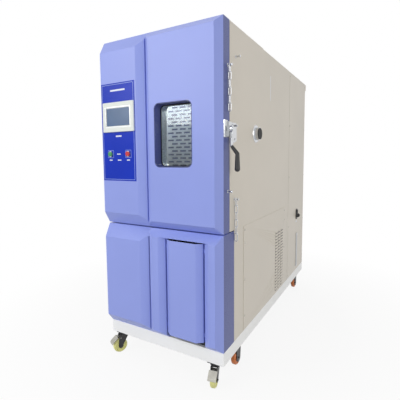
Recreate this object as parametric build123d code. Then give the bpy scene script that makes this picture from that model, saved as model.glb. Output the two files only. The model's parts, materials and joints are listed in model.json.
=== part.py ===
"""Floor-standing environmental test chamber with an insulated front door, built from sheet-metal
shells, a stainless chamber, a lever latch, safety chains, casters and a machine compartment.

Cabinet coordinates: x from the left side panel, y back from the door's front face, z up from
the floor. Every piece is moved once, when it is written, so that the origin lies under the
middle of the whole object.
"""
from build123d import *
import os
from math import cos, hypot, radians, sin

os.makedirs("parts", exist_ok=True)

# Overall cabinet, in millimetres
CAB_W = 680.0            # width over the side panels
CAB_H = 1650.0           # height of the door and the front lid
CAB_FRONT = 107.0        # y of the cabinet's front edge, behind the door gasket
CAB_BACK = 1563.0        # y of the rear panel's outer face
SHEET = 2.0              # thickness of the folded sheets
RETURN = 26.0            # width of the flange folded in at a panel's front edge

# Places that move with the overall size are given as shares of the three sizes above
ACROSS = CAB_W / 680.0
DEEP = CAB_BACK / 1563.0
UP = CAB_H / 1650.0

# Base frame and the split lines between the panels
BASE_FRONT = 40.0
BASE_BOTTOM = 112.5
BASE_TOP = 177.0
BASE_WALL = 4.0
BEAM_W = 60.0            # width of the side, front and cross beams
REAR_BEAM_W = 160.0      # the rear beam also carries the rear casters
SPLIT_Z = 720.0 * UP          # middle of the joint between the lower front panel and the door
SPLIT_GAP = 6.0
LID_SKIRT = 12.0
LID_STEP = 3.0           # the rear lid lies this much lower than the front one
LID_SPLIT_Y = 542.0 * DEEP
LID_GAP = 2.0
HOOD_REACH = 30.0        # how far the rear lid stands out behind the cabinet
HOOD_DROP = 45.0
SEAM_Y = 1099.0 * DEEP   # joint between the side panel and the rear column cover
SEAM_GAP = 2.0

# Front panels: a flat face that slopes back to its edges
BEVEL_DEPTH = 42.0
SEAM_DEPTH = 18.0        # depth of the groove between the two halves of the front
PAN_BACK = 102.0         # y of the back of the door
SEAM_W = 7.0
SEAM_LEFT = 281.0 * ACROSS  # x of the groove's left wall
SEAM_RIGHT = SEAM_LEFT + SEAM_W
SEAM_WALL_BACK = 44.0    # how far back the groove's walls run
LOW_BACK = 154.0         # y where the lower front panel's sides end
EDGE_LEFT_BEVEL = 10.0   # widths of the slopes of the left half
LEFT_BEVEL = 43.0
LEFT_TOP_BEVEL = 64.0
LEFT_BOTTOM_BEVEL = 60.0
RIGHT_BEVEL = 27.0       # widths of the slopes of the right half
EDGE_RIGHT_BEVEL = 23.0
RIGHT_TOP_BEVEL = 36.0
LOW_LEFT_BOTTOM = 50.0   # heights of the lower panel's bottom slopes
LOW_RIGHT_BOTTOM = 36.0
SEAM_STRIP = 3.0         # joining strips at the bottom of the grooves
SEAM_BRIDGE_Z = SPLIT_Z - 41.0  # above this the lower groove is filled up to the top slope

# Air intake in the right half of the lower front panel
INTAKE_LEFT = 380.0 * ACROSS  # edges of the recess behind its slopes
INTAKE_RIGHT = 595.0 * ACROSS
INTAKE_SLOPE_W = 30.0
INTAKE_SLOPE_D = 21.0
INTAKE_TOP = SPLIT_Z - 36.0
INTAKE_BACK = 60.0
INTAKE_SLOT = 8.0        # gap between the recess and the centre panel
CENTRE_TOP_GAP = 8.0
MESH_LAP = 14.0          # the intake mesh laps its opening by this much
MESH_SLOTS = 9
MESH_BAR = 9.0
CENTRE_BACK = 44.0
CENTRE_SLOPE_W = 29.0
BRACKET_H = 18.0
BRACKET_T, BRACKET_BACK = 3.0, 13.0
BRACKET_INSET = 26.0     # brackets stand this far in from the centre panel's ends

# Window in the door
WIN_LEFT, WIN_RIGHT = 343.0 * ACROSS, 548.0 * ACROSS
WIN_BOTTOM, WIN_TOP = 1017.0 * UP, 1312.0 * UP
WIN_R = 27.0
WIN_WALL = 3.0
PANE_T = 6.0
OUTER_PANE_Y = 48.0
INNER_PANE_Y = 92.0
CURVE_GAP = 0.3          # clearance between curved faces

# Control panel on the left half of the door
PLATE_LEFT, PLATE_RIGHT = 13.0, SEAM_LEFT - LEFT_BEVEL - 9.0
PLATE_BOTTOM, PLATE_TOP = 949.0 * UP, 1432.0 * UP
PLATE_T = 1.5
HMI_LEFT, HMI_RIGHT = PLATE_LEFT + 13.0, PLATE_RIGHT - 2.0
HMI_BOTTOM, HMI_TOP = 1192.0 * UP, 1338.0 * UP
HMI_R, HMI_EDGE = 5.0, 1.5
HMI_HOLE_GAP = 1.0       # clearance round the body in the plate and the panel
HMI_PROUD = 8.0
HMI_BODY_IN = 10.0       # the body behind the bezel is smaller by this on each side
HMI_BODY_D = 34.0
SCREEN_IN_X, SCREEN_IN_Z = 21.0, 24.0
SCREEN_RECESS = 2.5
SCREEN_RIM = 6.0
SCREEN_T = 1.5
BUTTON_Z = 1083.0 * UP
START_X, STOP_X = PLATE_LEFT + 54.0, PLATE_RIGHT - 46.0
CAP_R = 12.0
CAP_T, CAP_EDGE = 5.0, 1.5
STEM_R, STEM_SHORT = 8.7, 1.0
COLLAR_R = 14.5
BARREL_R = 11.0
BUTTON_TRAVEL = 2.5
COLLAR_PROUD = 4.5
COLLAR_FLOOR = 1.5
CAP_GAP = 0.5            # left between cap and collar floor when a button is pressed
BARREL_BACK = 26.0

# Chamber liner, baffle and insulation
SIDE_WALL = 72.0         # from a side panel's outside to the chamber
BACK_WALL = 84.0
CAV_LEFT, CAV_RIGHT = SIDE_WALL, CAB_W - SIDE_WALL
CAV_BOTTOM, CAV_TOP = 862.0 * UP, 1508.0 * UP
CAV_BACK = 638.0 * DEEP
INSUL_BACK = CAV_BACK + BACK_WALL
BAFFLE_Y = 473.0 * DEEP
BAFFLE_TOP = 1385.0 * UP
BAFFLE_TAB = 12.0        # height of the tabs that tie its top to the chamber's back
SLOT_L, SLOT_H = 43.0, 10.0
SLOT_PITCH_X, SLOT_PITCH_Z = 58.7, 22.0
SLOT_MARGIN = 18.0
GASKET_W = 18.0
GASKET_INSET = 14.0      # the gasket's inner edge lies this far outside the chamber mouth

# Shelf and its rails
SHELF_Z = 950.0 * UP
SHELF_WIRE_R = 3.0
SHELF_FRONT, SHELF_BACK = CAB_FRONT + 27.0, BAFFLE_Y - 11.0
SHELF_WIRES = 14
RAIL_W, RAIL_T = 18.0, 3.0
RAIL_FRONT_GAP, RAIL_BACK_GAP = 12.0, 4.0
SHELF_SIDE_GAP = 6.0

# Cable port on the right side
PORT_Y, PORT_Z = 434.0 * DEEP, 1184.0 * UP
PORT_FLANGE_R, PORT_R, PORT_BORE_R = 46.5, 33.0, 25.0
PORT_OUT = 22.0
PORT_FLANGE_T, PORT_FLANGE_SLOPE = 5.0, 3.5
PLUG_GAP = 0.3
PLUG_LIP, PLUG_LIP_IN = 3.0, 4.0
PLUG_INNER = 60.0        # length of the plug inside the tube

# Circulation fan behind the baffle
FAN_X, FAN_Z = CAB_W / 2, 1270.0 * UP
FAN_R = 95.0
FAN_Y0 = BAFFLE_Y + 42.0
FAN_Y1 = FAN_Y0 + 50.0
FAN_DISC_T = 3.0
FAN_HUB_R, FAN_HUB_IN = 22.0, 15.0
BLADE_L, BLADE_T, BLADE_INSET = 34.0, 2.0, 20.0
FAN_BLADES = 12
SHAFT_R = 8.0
SHAFT_CLEAR = 0.05
SHAFT_HOLE_R = 12.0
MOTOR_R, MOTOR_L = 62.0, 130.0
MOTOR_PLATE_HALF, MOTOR_PLATE_T = 80.0, 6.0

# Evaporator coil behind the baffle
EVAP_GAP = 38.0
EVAP_LEFT, EVAP_RIGHT = CAV_LEFT + EVAP_GAP, CAV_RIGHT - EVAP_GAP
EVAP_Y0 = BAFFLE_Y + 37.0
EVAP_Y1 = EVAP_Y0 + 90.0
EVAP_TOP = 1120.0 * UP
EVAP_RAISE = 16.0
EVAP_FINS = 16
FIN_D, FIN_T, END_PLATE_T = 6.0, 1.5, 3.0
TUBES, TUBE_R, TUBE_OUT = 5, 7.0, 8.0

# Machine compartment
CAN_R, CAN_H = 72.0, 210.0
CAN_X = CAB_W / 2 - 130.0
CAN_Y = (640.0 * DEEP, 860.0 * DEEP)
CAN_SHOULDER_W, CAN_SHOULDER_H = 22.0, 16.0
CAN_FOOT = 22.0
CAN_PLATE_HALF, CAN_PLATE_T = 90.0, 6.0
CAN_RUBBER_R, CAN_RUBBER_IN = 14.0, 20.0
COND_X1 = CAB_W - 30.0
COND_X0 = COND_X1 - 60.0
COND_Y0, COND_Y1 = 780.0 * DEEP, 985.0 * DEEP
COND_Z1 = 610.0 * UP
COND_FINS = 14
COND_FOOT = 20.0
COND_FAN_X0 = COND_X0 - 70.0
COND_FAN_X1 = COND_FAN_X0 + 32.0
COND_FAN_R = 88.0
COND_FAN_Z = 400.0 * UP
COND_HUB_R, COND_SHAFT_L = 26.0, 36.0
COND_BLADES, COND_BLADE_W, COND_BLADE_T, COND_BLADE_START = 5, 44.0, 2.5, 16.0
COND_MOTOR_R, COND_MOTOR_L = 36.0, 90.0
COND_MOTOR_GAP, COND_MOTOR_BORE = 8.0, 30.0
COND_STAND_HALF, COND_STAND_INSET, COND_STAND_LAP = 25.0, 20.0, 10.0
EBOX_X0, EBOX_X1 = CAB_W / 2 - 40.0, CAB_W - 40.0
EBOX_Y0 = 1130.0 * DEEP
EBOX_Y1 = EBOX_Y0 + 70.0
EBOX_Z0, EBOX_Z1 = SPLIT_Z + 40.0, CAB_H - 90.0
EBOX_T, EBOX_RIM, EBOX_FOOT_W = 4.0, 20.0, 30.0
GEAR_ROWS, GEAR_H, GEAR_LOW, GEAR_HIGH = 3, 80.0, 60.0, 100.0

# Side access panel with louvres
ACC_Y0, ACC_Y1 = 267.0 * DEEP, 1012.0 * DEEP
ACC_Z0, ACC_Z1 = BASE_TOP + 4.0, SPLIT_Z
ACC_T = 2.0
ACC_LAP = 18.0           # the panel overlaps its opening by this much
LOUVRE_Y0, LOUVRE_Y1 = 799.0 * DEEP, 966.0 * DEEP
LOUVRE_Z0, LOUVRE_Z1 = BASE_TOP + 24.0, SPLIT_Z - 126.0
LOUVRE_COLS, LOUVRE_ROWS = 3, 20
LOUVRE_OUT = 5.0
LOUVRE_SHEET = 1.2
LOUVRE_FOOT = 2.0        # from a louvre's place up to the lower edge of its cut
LOUVRE_GAP_Y = 9.0

# Fittings on the rear column and the back
INLET_Y, INLET_Z = 1344.0 * DEEP, 622.0 * UP
INLET_W, INLET_H = 46.0, 78.0
INLET_OUT = 20.0
INLET_R, INLET_PLATE_T, INLET_DROP = 12.0, 4.0, 10.0
INLET_BODY_R, SPOUT_R, SPOUT_L = 15.0, 9.0, 6.0
INLET_LUG = (6.0, 12.0, 8.0, 32.0)  # half width, reach, and its lower and upper edge
GAUGE_Y, GAUGE_Z0, GAUGE_Z1 = 1352.0 * DEEP, BASE_TOP + 30.0, SPLIT_Z - 251.0
GAUGE_TUBE_R = 4.0
GAUGE_W, GAUGE_T, GAUGE_SLOT = 34.0, 5.0, 14.0
DRAIN_X, DRAIN_Z, DRAIN_R, DRAIN_OUT = 120.0, 230.0, 10.0, 24.0
DRAIN_WALL, DRAIN_RIM, DRAIN_RIM_T, DRAIN_IN = 2.0, 8.0, 3.0, 30.0
GLAND_X, GLAND_Z, GLAND_R, GLAND_BORE_R = CAB_W - 120.0, 230.0, 16.0, 8.0
GLAND_OUT, GLAND_IN, GLAND_STEP = 18.0, 12.0, 4.0
VENT_COLS, VENT_ROWS = 2, 12
VENT_W, VENT_H, VENT_PITCH = 200.0 * ACROSS, 8.0, 24.0
VENT_COL_GAP = 40.0
VENT_Z0 = 300.0

# Hinges on the left side
HINGE_Z = (830.0 * UP, 1185.0 * UP, 1540.0 * UP)
HINGE_H = 90.0
HINGE_R = 8.0
HINGE_X = -8.5
HINGE_Y = 104.5
HINGE_PIN_R = 4.0
HINGE_PIN_GAP = 0.05
LEAF_T = 3.0
LEAF_W = 42.0
KNUCKLE_GAP = 0.5
LEAF_CLEAR, LEAF_NECK = 1.0, 2.0

# Latch on the right side
LATCH_Y, LATCH_Z = 84.0, 1184.0 * UP
LATCH_H = 74.0
PAD_Y0, PAD_Y1 = 43.0, 74.0
PAD_T = 5.0
HOUSING_Y1 = 100.0
HOUSING_T, HOUSING_R, HOUSING_IN = 11.0, 4.0, 4.0
CAP_RIM, CAP_REACH = 4.0, 3.0
LEVER_X0, LEVER_X1 = CAB_W + 14.0, CAB_W + 24.0
LEVER_PIN_R = 5.0
HUB_R = 15.0
NECK_W = 9.0
NECK_Z = LATCH_Z - 74.0  # height of the bend where the grip begins
GRIP_OUT = 27.0          # from the neck's middle out to the grip's
GRIP_X = (LEVER_X0 + LEVER_X1) / 2 + GRIP_OUT
GRIP_BEND_Z = NECK_Z - 34.0  # below this the grip hangs straight down
GRIP_Z0 = GRIP_BEND_Z - 78.0
GRIP_R_NECK, GRIP_R_BEND, GRIP_R_END = 7.0, 9.0, 12.0
TANG_R, TANG_L, TANG_SUNK = 3.5, 30.0, 1.5
CLAW_R0, CLAW_R1 = 56.2, 64.0
CLAW_ARM_DEG = -72.0
CLAW_TIP_DEG = -44.0
CLAW_T, CLAW_ARM_W = 6.0, 9.0
STRIKE_R, STRIKE_DIST, STRIKE_DEG = 4.5, 49.0, 20.0
STRIKE_COLLAR, STRIKE_RIM = 4.0, 4.0
STRIKE_Y0, STRIKE_Y1 = 112.0, 172.0
STRIKE_Z0, STRIKE_Z1 = LATCH_Z - 52.0, LATCH_Z + 32.0
STRIKE_T, STRIKE_CORNER = 4.0, 6.0
STRIKE_X1 = LEVER_X1 + 2.0

# Safety chains and their studs
STUD_R, STUD_HEAD_R, STUD_HEAD_T = 3.5, 6.0, 3.0
STUD_OUT, STUD_FOOT_T = 22.0, 1.0
CHAIN_X = CAB_W + 10.0
LINK_PITCH, LINK_WIRE_R, LINK_IN_R = 33.0, 2.0, 4.5
LINK_GAP = 0.1
DOOR_STUDS = ((84.0, 1456.0 * UP), (84.0, 910.0 * UP))
FRAME_STUDS = ((170.0, 1512.0 * UP), (155.0, 868.0 * UP))
LINKS = int((DOOR_STUDS[0][1] - LATCH_Z - 60.0) / LINK_PITCH)  # as many as end above the latch

# Casters
WHEEL_R, WHEEL_W = 37.5, 26.0
AXLE_R, AXLE_GAP = 4.0, 0.05
FORK_T = 3.0
FORK_SIDE_GAP = 1.0
CASTER_PLATE, CASTER_PLATE_T = 60.0, 4.0
RACE_R, RACE_T = 24.0, 7.0
FORK_TOP_T = 7.0
FORK_SHORT, LEG_FORWARD, FORK_RIM = 8.0, 17.0, 2.0
KING_R, KING_NUT_R, KING_NUT_T = 5.0, 9.0, 5.0
TRAIL = 28.0
AXLE_END = 3.0
SWIVEL_IN, RIGID_IN = 57.0, 35.0
SWIVELS = ((SWIVEL_IN, 72.0, -30.0), (CAB_W - SWIVEL_IN, 72.0, 12.0))
RIGID_YS = (255.0 * DEEP, CAB_BACK - 131.0)
RIGIDS = [(x, y) for y in RIGID_YS for x in (RIGID_IN, CAB_W - RIGID_IN)]
LEG_NECK = 4.0           # a leg's straight part above its axle
SWIVEL_LEG = (50.0, 13.0)  # a fork leg's width at its top and the radius round its axle
RIGID_LEG = (56.0, 21.0)
PEDAL_PIN = (-28.0, 82.0)  # along the fork and up, in the unturned fork
PEDAL_PIN_R = 2.5
PEDAL_W = 40.0
PEDAL_SIDE_GAP, PEDAL_PIN_OUT = 0.5, 1.0
PEDAL_LUG = (5.0, 4.0, 3.0)  # half sizes of the block that holds the pin
PEDAL_SHAPE = ((-24, 86), (-44, 86), (-71, 63), (-75, 55), (-78, 57), (-74, 66), (-46, 90), (-24, 90))
WHEEL_STEPS = (14.0, 16.0, 27.0, 29.0)  # radii of the hub, of the recess and of the tyre's bead
WHEEL_HOLLOW, TREAD_R, TREAD_EDGE = 4.0, 4.0, 6.0
SHELF_SIDE_R, SHELF_THIN_R = 2.55, 2.1

# How far pieces stand out past the cabinet's planes, which places the origin
LEFT_REACH = HINGE_R - HINGE_X
RIGHT_REACH = GRIP_X + GRIP_R_END - CAB_W
FRONT_REACH = PLATE_T + COLLAR_FLOOR + BUTTON_TRAVEL + CAP_GAP + CAP_T
ORIGIN_X = (CAB_W + RIGHT_REACH - LEFT_REACH) / 2
ORIGIN_Y = (CAB_BACK + HOOD_REACH - FRONT_REACH) / 2

LOW_TOP = SPLIT_Z - SPLIT_GAP / 2
DOOR_BOTTOM = SPLIT_Z + SPLIT_GAP / 2
SKIN_TOP = CAB_H - LID_SKIRT


def block(x0, x1, y0, y1, z0, z1):
    """Box between two corners."""
    return Pos((x0 + x1) / 2, (y0 + y1) / 2, (z0 + z1) / 2) * Box(x1 - x0, y1 - y0, z1 - z0)


def rod_x(x0, x1, y, z, r):
    return Pos((x0 + x1) / 2, y, z) * Rot(0, 90, 0) * Cylinder(r, x1 - x0)


def rod_y(y0, y1, x, z, r):
    return Pos(x, (y0 + y1) / 2, z) * Rot(90, 0, 0) * Cylinder(r, y1 - y0)


def rod_z(z0, z1, x, y, r):
    return Pos(x, y, (z0 + z1) / 2) * Cylinder(r, z1 - z0)


def front_plane(y):
    """Plane across the front at depth y, with its second direction up."""
    return Plane(origin=(0, y, 0), x_dir=(1, 0, 0), z_dir=(0, -1, 0))


def side_plane(x):
    """Plane across the side at x, with directions back and up."""
    return Plane(origin=(x, 0, 0), x_dir=(0, 1, 0), z_dir=(1, 0, 0))


def front_rect(y, x0, x1, z0, z1):
    """Rectangle in a plane across the front."""
    return front_plane(y) * Pos((x0 + x1) / 2, (z0 + z1) / 2) * Rectangle(x1 - x0, z1 - z0)


def front_round(y0, y1, x0, x1, z0, z1, r):
    """Plate with rounded corners, from y0 back to y1."""
    outline = Pos((x0 + x1) / 2, (z0 + z1) / 2) * RectangleRounded(x1 - x0, z1 - z0, r)
    return extrude(front_plane(y0) * outline, amount=y0 - y1)


def frustum(near, far, y_near, y_far):
    """Solid between a smaller rectangle in front and a larger one behind it."""
    return loft([front_rect(y_near, *near), front_rect(y_far, *far)])


def slope_end(face, edge, depth_at_edge):
    """Where a slope that reaches edge at one depth would be at the full bevel depth."""
    return face + (edge - face) * BEVEL_DEPTH / depth_at_edge


def pillow(face, edge, back, shrink):
    """Flat face sloping back to its edges, then straight sides; shrink gives the inner form."""
    near = (face[0] + shrink, face[1] - shrink, face[2] + shrink, face[3] - shrink)
    far = (edge[0] + shrink, edge[1] - shrink, edge[2] + shrink, edge[3] - shrink)
    body = frustum(near, far, shrink, BEVEL_DEPTH + shrink)
    return body + block(far[0], far[1], BEVEL_DEPTH + shrink, back, far[2], far[3])


def left_outline(z0, z1, bottom_bevel):
    """Face and edge rectangles of the left half of the front."""
    right = SEAM_LEFT - LEFT_BEVEL
    face = (EDGE_LEFT_BEVEL, right, z0 + bottom_bevel, z1 - LEFT_TOP_BEVEL)
    return face, (0.0, slope_end(right, SEAM_LEFT, SEAM_DEPTH), z0, z1)


def right_outline(z0, z1, bottom_bevel):
    """Face and edge rectangles of the right half of the front."""
    left = SEAM_RIGHT + RIGHT_BEVEL
    face = (left, CAB_W - EDGE_RIGHT_BEVEL, z0 + bottom_bevel, z1 - RIGHT_TOP_BEVEL)
    return face, (slope_end(left, SEAM_RIGHT, SEAM_DEPTH), CAB_W, z0, z1)


def half_pan(outline, left, right, back, open_side):
    """Sheet pan for one half of the front, with its groove wall shorter than its other walls."""
    face, edge = outline
    outer = pillow(face, edge, back, 0.0)
    inner = pillow(face, edge, back + 1.0, SHEET)
    outer = outer & block(left, right, -1.0, back + 1.0, edge[2], edge[3])
    inner = inner & block(left + SHEET, right - SHEET, -1.0, back + 2.0, edge[2], edge[3])
    pan = outer - inner
    if open_side == "right":
        gap = block(right - SHEET, right, SEAM_WALL_BACK, back + 1.0, edge[2] + SHEET, edge[3] - SHEET)
    else:
        gap = block(left, left + SHEET, SEAM_WALL_BACK, back + 1.0, edge[2] + SHEET, edge[3] - SHEET)
    return pan - gap


def window_block(y0, y1, grow):
    """Rounded block of the window's outline, grown by a margin."""
    return front_round(y0, y1, WIN_LEFT - grow, WIN_RIGHT + grow,
                       WIN_BOTTOM - grow, WIN_TOP + grow, WIN_R + grow)


def control_console():
    pan = half_pan(left_outline(DOOR_BOTTOM, CAB_H, LEFT_BOTTOM_BEVEL), 0.0, SEAM_LEFT,
                   PAN_BACK, "right")
    pan -= block(HMI_LEFT + HMI_BODY_IN - HMI_HOLE_GAP, HMI_RIGHT - HMI_BODY_IN + HMI_HOLE_GAP, -1, SHEET + 1,
                 HMI_BOTTOM + HMI_BODY_IN - HMI_HOLE_GAP, HMI_TOP - HMI_BODY_IN + HMI_HOLE_GAP)
    for x in (START_X, STOP_X):
        pan -= rod_y(-1, SHEET + 1, x, BUTTON_Z, BARREL_R + CURVE_GAP)
    return pan


def door_front_panel():
    pan = half_pan(right_outline(DOOR_BOTTOM, CAB_H, RIGHT_TOP_BEVEL), SEAM_RIGHT, CAB_W,
                   PAN_BACK, "left")
    pan += block(SEAM_LEFT, SEAM_RIGHT, SEAM_WALL_BACK - SEAM_STRIP, SEAM_WALL_BACK, DOOR_BOTTOM, CAB_H)
    return pan - window_block(-1.0, SHEET + 1, CURVE_GAP)


def door_insulation():
    foam = block(SHEET, CAB_W - SHEET, SEAM_WALL_BACK, PAN_BACK - SHEET,
                 DOOR_BOTTOM + SHEET, CAB_H - SHEET)
    return foam - window_block(SEAM_WALL_BACK - 1, PAN_BACK, CURVE_GAP)


def door_inner_panel():
    plate = block(SHEET, CAB_W - SHEET, PAN_BACK - SHEET, PAN_BACK,
                  DOOR_BOTTOM + SHEET, CAB_H - SHEET)
    return plate - window_block(PAN_BACK - SHEET - 1, PAN_BACK + 1, CURVE_GAP)


def door_gasket():
    x0, x1 = CAV_LEFT - GASKET_INSET, CAV_RIGHT + GASKET_INSET
    z0, z1 = CAV_BOTTOM - GASKET_INSET, CAV_TOP + GASKET_INSET
    outer = block(x0 - GASKET_W, x1 + GASKET_W, PAN_BACK, CAB_FRONT, z0 - GASKET_W, z1 + GASKET_W)
    return outer - block(x0, x1, PAN_BACK - 1, CAB_FRONT + 1, z0, z1)


def window_surround():
    return window_block(SHEET / 2, PAN_BACK, 0.0) - window_block(0.0, PAN_BACK + 1, -WIN_WALL)


def window_panes():
    inset = -WIN_WALL - CURVE_GAP
    return [window_block(y, y + PANE_T, inset) for y in (OUTER_PANE_Y, INNER_PANE_Y)]


def control_plate():
    plate = block(PLATE_LEFT, PLATE_RIGHT, -PLATE_T, 0, PLATE_BOTTOM, PLATE_TOP)
    plate -= block(HMI_LEFT + HMI_BODY_IN - HMI_HOLE_GAP, HMI_RIGHT - HMI_BODY_IN + HMI_HOLE_GAP, -PLATE_T - 1, 1,
                   HMI_BOTTOM + HMI_BODY_IN - HMI_HOLE_GAP, HMI_TOP - HMI_BODY_IN + HMI_HOLE_GAP)
    for x in (START_X, STOP_X):
        plate -= rod_y(-PLATE_T - 1, 1, x, BUTTON_Z, BARREL_R + CURVE_GAP)
    return plate


def hmi_bezel():
    front = -PLATE_T - HMI_PROUD
    bezel = front_round(front, -PLATE_T, HMI_LEFT, HMI_RIGHT, HMI_BOTTOM, HMI_TOP, HMI_R)
    bezel = chamfer(bezel.faces().sort_by(Axis.Y)[0].edges(), HMI_EDGE)
    bezel -= block(HMI_LEFT + SCREEN_IN_X, HMI_RIGHT - SCREEN_IN_X, front - 1, front + SCREEN_RECESS,
                   HMI_BOTTOM + SCREEN_IN_Z, HMI_TOP - SCREEN_IN_Z)
    bezel += block(HMI_LEFT + HMI_BODY_IN, HMI_RIGHT - HMI_BODY_IN, -PLATE_T, HMI_BODY_D,
                   HMI_BOTTOM + HMI_BODY_IN, HMI_TOP - HMI_BODY_IN)
    return bezel


def hmi_display():
    floor = -PLATE_T - HMI_PROUD + SCREEN_RECESS
    rim = SCREEN_RIM
    return block(HMI_LEFT + SCREEN_IN_X + rim, HMI_RIGHT - SCREEN_IN_X - rim, floor - SCREEN_T, floor,
                 HMI_BOTTOM + SCREEN_IN_Z + rim, HMI_TOP - SCREEN_IN_Z - rim)


def button_collar(x):
    ring_front = -PLATE_T - COLLAR_PROUD
    collar = rod_y(ring_front, -PLATE_T, x, BUTTON_Z, COLLAR_R)
    collar += rod_y(-PLATE_T, BARREL_BACK, x, BUTTON_Z, BARREL_R)
    collar -= rod_y(ring_front - 1, -PLATE_T - COLLAR_FLOOR, x, BUTTON_Z, CAP_R + CURVE_GAP)
    return collar - rod_y(ring_front - 1, BARREL_BACK + 1, x, BUTTON_Z, STEM_R + CURVE_GAP)


def push_button(x):
    cap_back = -PLATE_T - COLLAR_FLOOR - BUTTON_TRAVEL - CAP_GAP
    cap = rod_y(cap_back - CAP_T, cap_back, x, BUTTON_Z, CAP_R)
    cap = fillet(cap.faces().sort_by(Axis.Y)[0].edges(), CAP_EDGE)
    return cap + rod_y(cap_back, BARREL_BACK - BUTTON_TRAVEL - STEM_SHORT, x, BUTTON_Z, STEM_R)


def lower_front_panel():
    """Two pillows with a groove between them, and the recess of the air intake in the right one."""
    left = half_pan(left_outline(BASE_TOP, LOW_TOP, LOW_LEFT_BOTTOM), 0.0, SEAM_LEFT,
                    LOW_BACK, "right")
    face, edge = right_outline(BASE_TOP, LOW_TOP, LOW_RIGHT_BOTTOM)
    outer = pillow(face, edge, LOW_BACK, 0.0)
    inner = pillow(face, edge, LOW_BACK + 1, SHEET)
    outer = outer & block(SEAM_RIGHT, CAB_W, -1, LOW_BACK + 1, BASE_TOP, LOW_TOP)
    inner = inner & block(SEAM_RIGHT + SHEET, CAB_W - SHEET, -1, LOW_BACK + 2, BASE_TOP, LOW_TOP)
    right = outer - intake_recess(0.0) - (inner - intake_recess(SHEET))
    right -= block(INTAKE_LEFT + MESH_LAP, INTAKE_RIGHT - MESH_LAP, INTAKE_BACK - 1,
                   INTAKE_BACK + SHEET + 1, BASE_TOP + MESH_LAP, INTAKE_TOP - MESH_LAP)
    right -= block(SEAM_RIGHT, SEAM_RIGHT + SHEET, SEAM_WALL_BACK, LOW_BACK + 1,
                   BASE_TOP + SHEET, LOW_TOP - SHEET)
    strip = block(SEAM_LEFT, SEAM_RIGHT, SEAM_WALL_BACK - SEAM_STRIP, SEAM_WALL_BACK,
                  BASE_TOP, LOW_TOP)
    slope_top = LOW_TOP - RIGHT_TOP_BEVEL * (BEVEL_DEPTH - SEAM_DEPTH) / BEVEL_DEPTH
    outline = [(SEAM_DEPTH, SEAM_BRIDGE_Z), (SEAM_DEPTH, slope_top), (BEVEL_DEPTH, LOW_TOP),
               (SEAM_WALL_BACK, LOW_TOP), (SEAM_WALL_BACK, SEAM_BRIDGE_Z)]
    bridge = extrude(side_plane(SEAM_LEFT) * make_face(Polyline(*outline, close=True)),
                     amount=SEAM_RIGHT - SEAM_LEFT)
    return left + right + strip + bridge


def intake_recess(grow):
    """Space of the air intake, with sloping sides in front and straight ones behind."""
    x0, x1 = INTAKE_LEFT - grow, INTAKE_RIGHT + grow
    z0, z1 = BASE_TOP - 1, INTAKE_TOP + grow
    back = INTAKE_BACK + grow
    wide = (x0 - INTAKE_SLOPE_W, x1 + INTAKE_SLOPE_W, z0, z1)
    slope = frustum(wide, (x0, x1, z0, z1), 0.0, INTAKE_SLOPE_D)
    lip = block(wide[0], wide[1], -1, 0, z0, z1)
    return lip + slope + block(x0, x1, INTAKE_SLOPE_D, back, z0, z1)


def intake_centre_panel():
    """Folded centre panel that stands in the recess on four small brackets."""
    x0, x1 = INTAKE_LEFT + INTAKE_SLOT, INTAKE_RIGHT - INTAKE_SLOT
    z0, z1 = BASE_TOP + LOW_RIGHT_BOTTOM, INTAKE_TOP - CENTRE_TOP_GAP
    outline = [(x0, CENTRE_BACK), (x0, INTAKE_SLOPE_D), (x0 + CENTRE_SLOPE_W, 0),
               (x1 - CENTRE_SLOPE_W, 0), (x1, INTAKE_SLOPE_D), (x1, CENTRE_BACK)]
    outer = extrude(make_face(Polyline(*outline, close=True)), amount=z1 - z0)
    inside = [(x0 + SHEET, CENTRE_BACK + 1), (x0 + SHEET, INTAKE_SLOPE_D + SHEET / 2),
              (x0 + CENTRE_SLOPE_W, SHEET), (x1 - CENTRE_SLOPE_W, SHEET),
              (x1 - SHEET, INTAKE_SLOPE_D + SHEET / 2), (x1 - SHEET, CENTRE_BACK + 1)]
    inner = extrude(make_face(Polyline(*inside, close=True)), amount=z1 - z0)
    panel = Pos(0, 0, z0) * (outer - inner)
    for z in (z0 + BRACKET_INSET, z1 - BRACKET_INSET - BRACKET_H):
        for a, b in ((INTAKE_LEFT, x0 + SHEET), (x1 - SHEET, INTAKE_RIGHT)):
            panel += block(a, b, CENTRE_BACK - BRACKET_BACK - BRACKET_T, CENTRE_BACK - BRACKET_BACK,
                           z, z + BRACKET_H)
    return panel


def intake_mesh():
    """Slotted grille that lies against the recess's back wall."""
    grille = block(INTAKE_LEFT, INTAKE_RIGHT, INTAKE_BACK - SHEET, INTAKE_BACK, BASE_TOP, INTAKE_TOP)
    x0, x1 = INTAKE_LEFT + MESH_LAP, INTAKE_RIGHT - MESH_LAP
    pitch = (x1 - x0 + MESH_BAR) / MESH_SLOTS
    for i in range(MESH_SLOTS):
        x = x0 + i * pitch
        grille -= block(x, x + pitch - MESH_BAR, INTAKE_BACK - SHEET - 1, INTAKE_BACK + 1,
                        BASE_TOP + MESH_LAP, INTAKE_TOP - MESH_LAP)
    return grille


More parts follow.
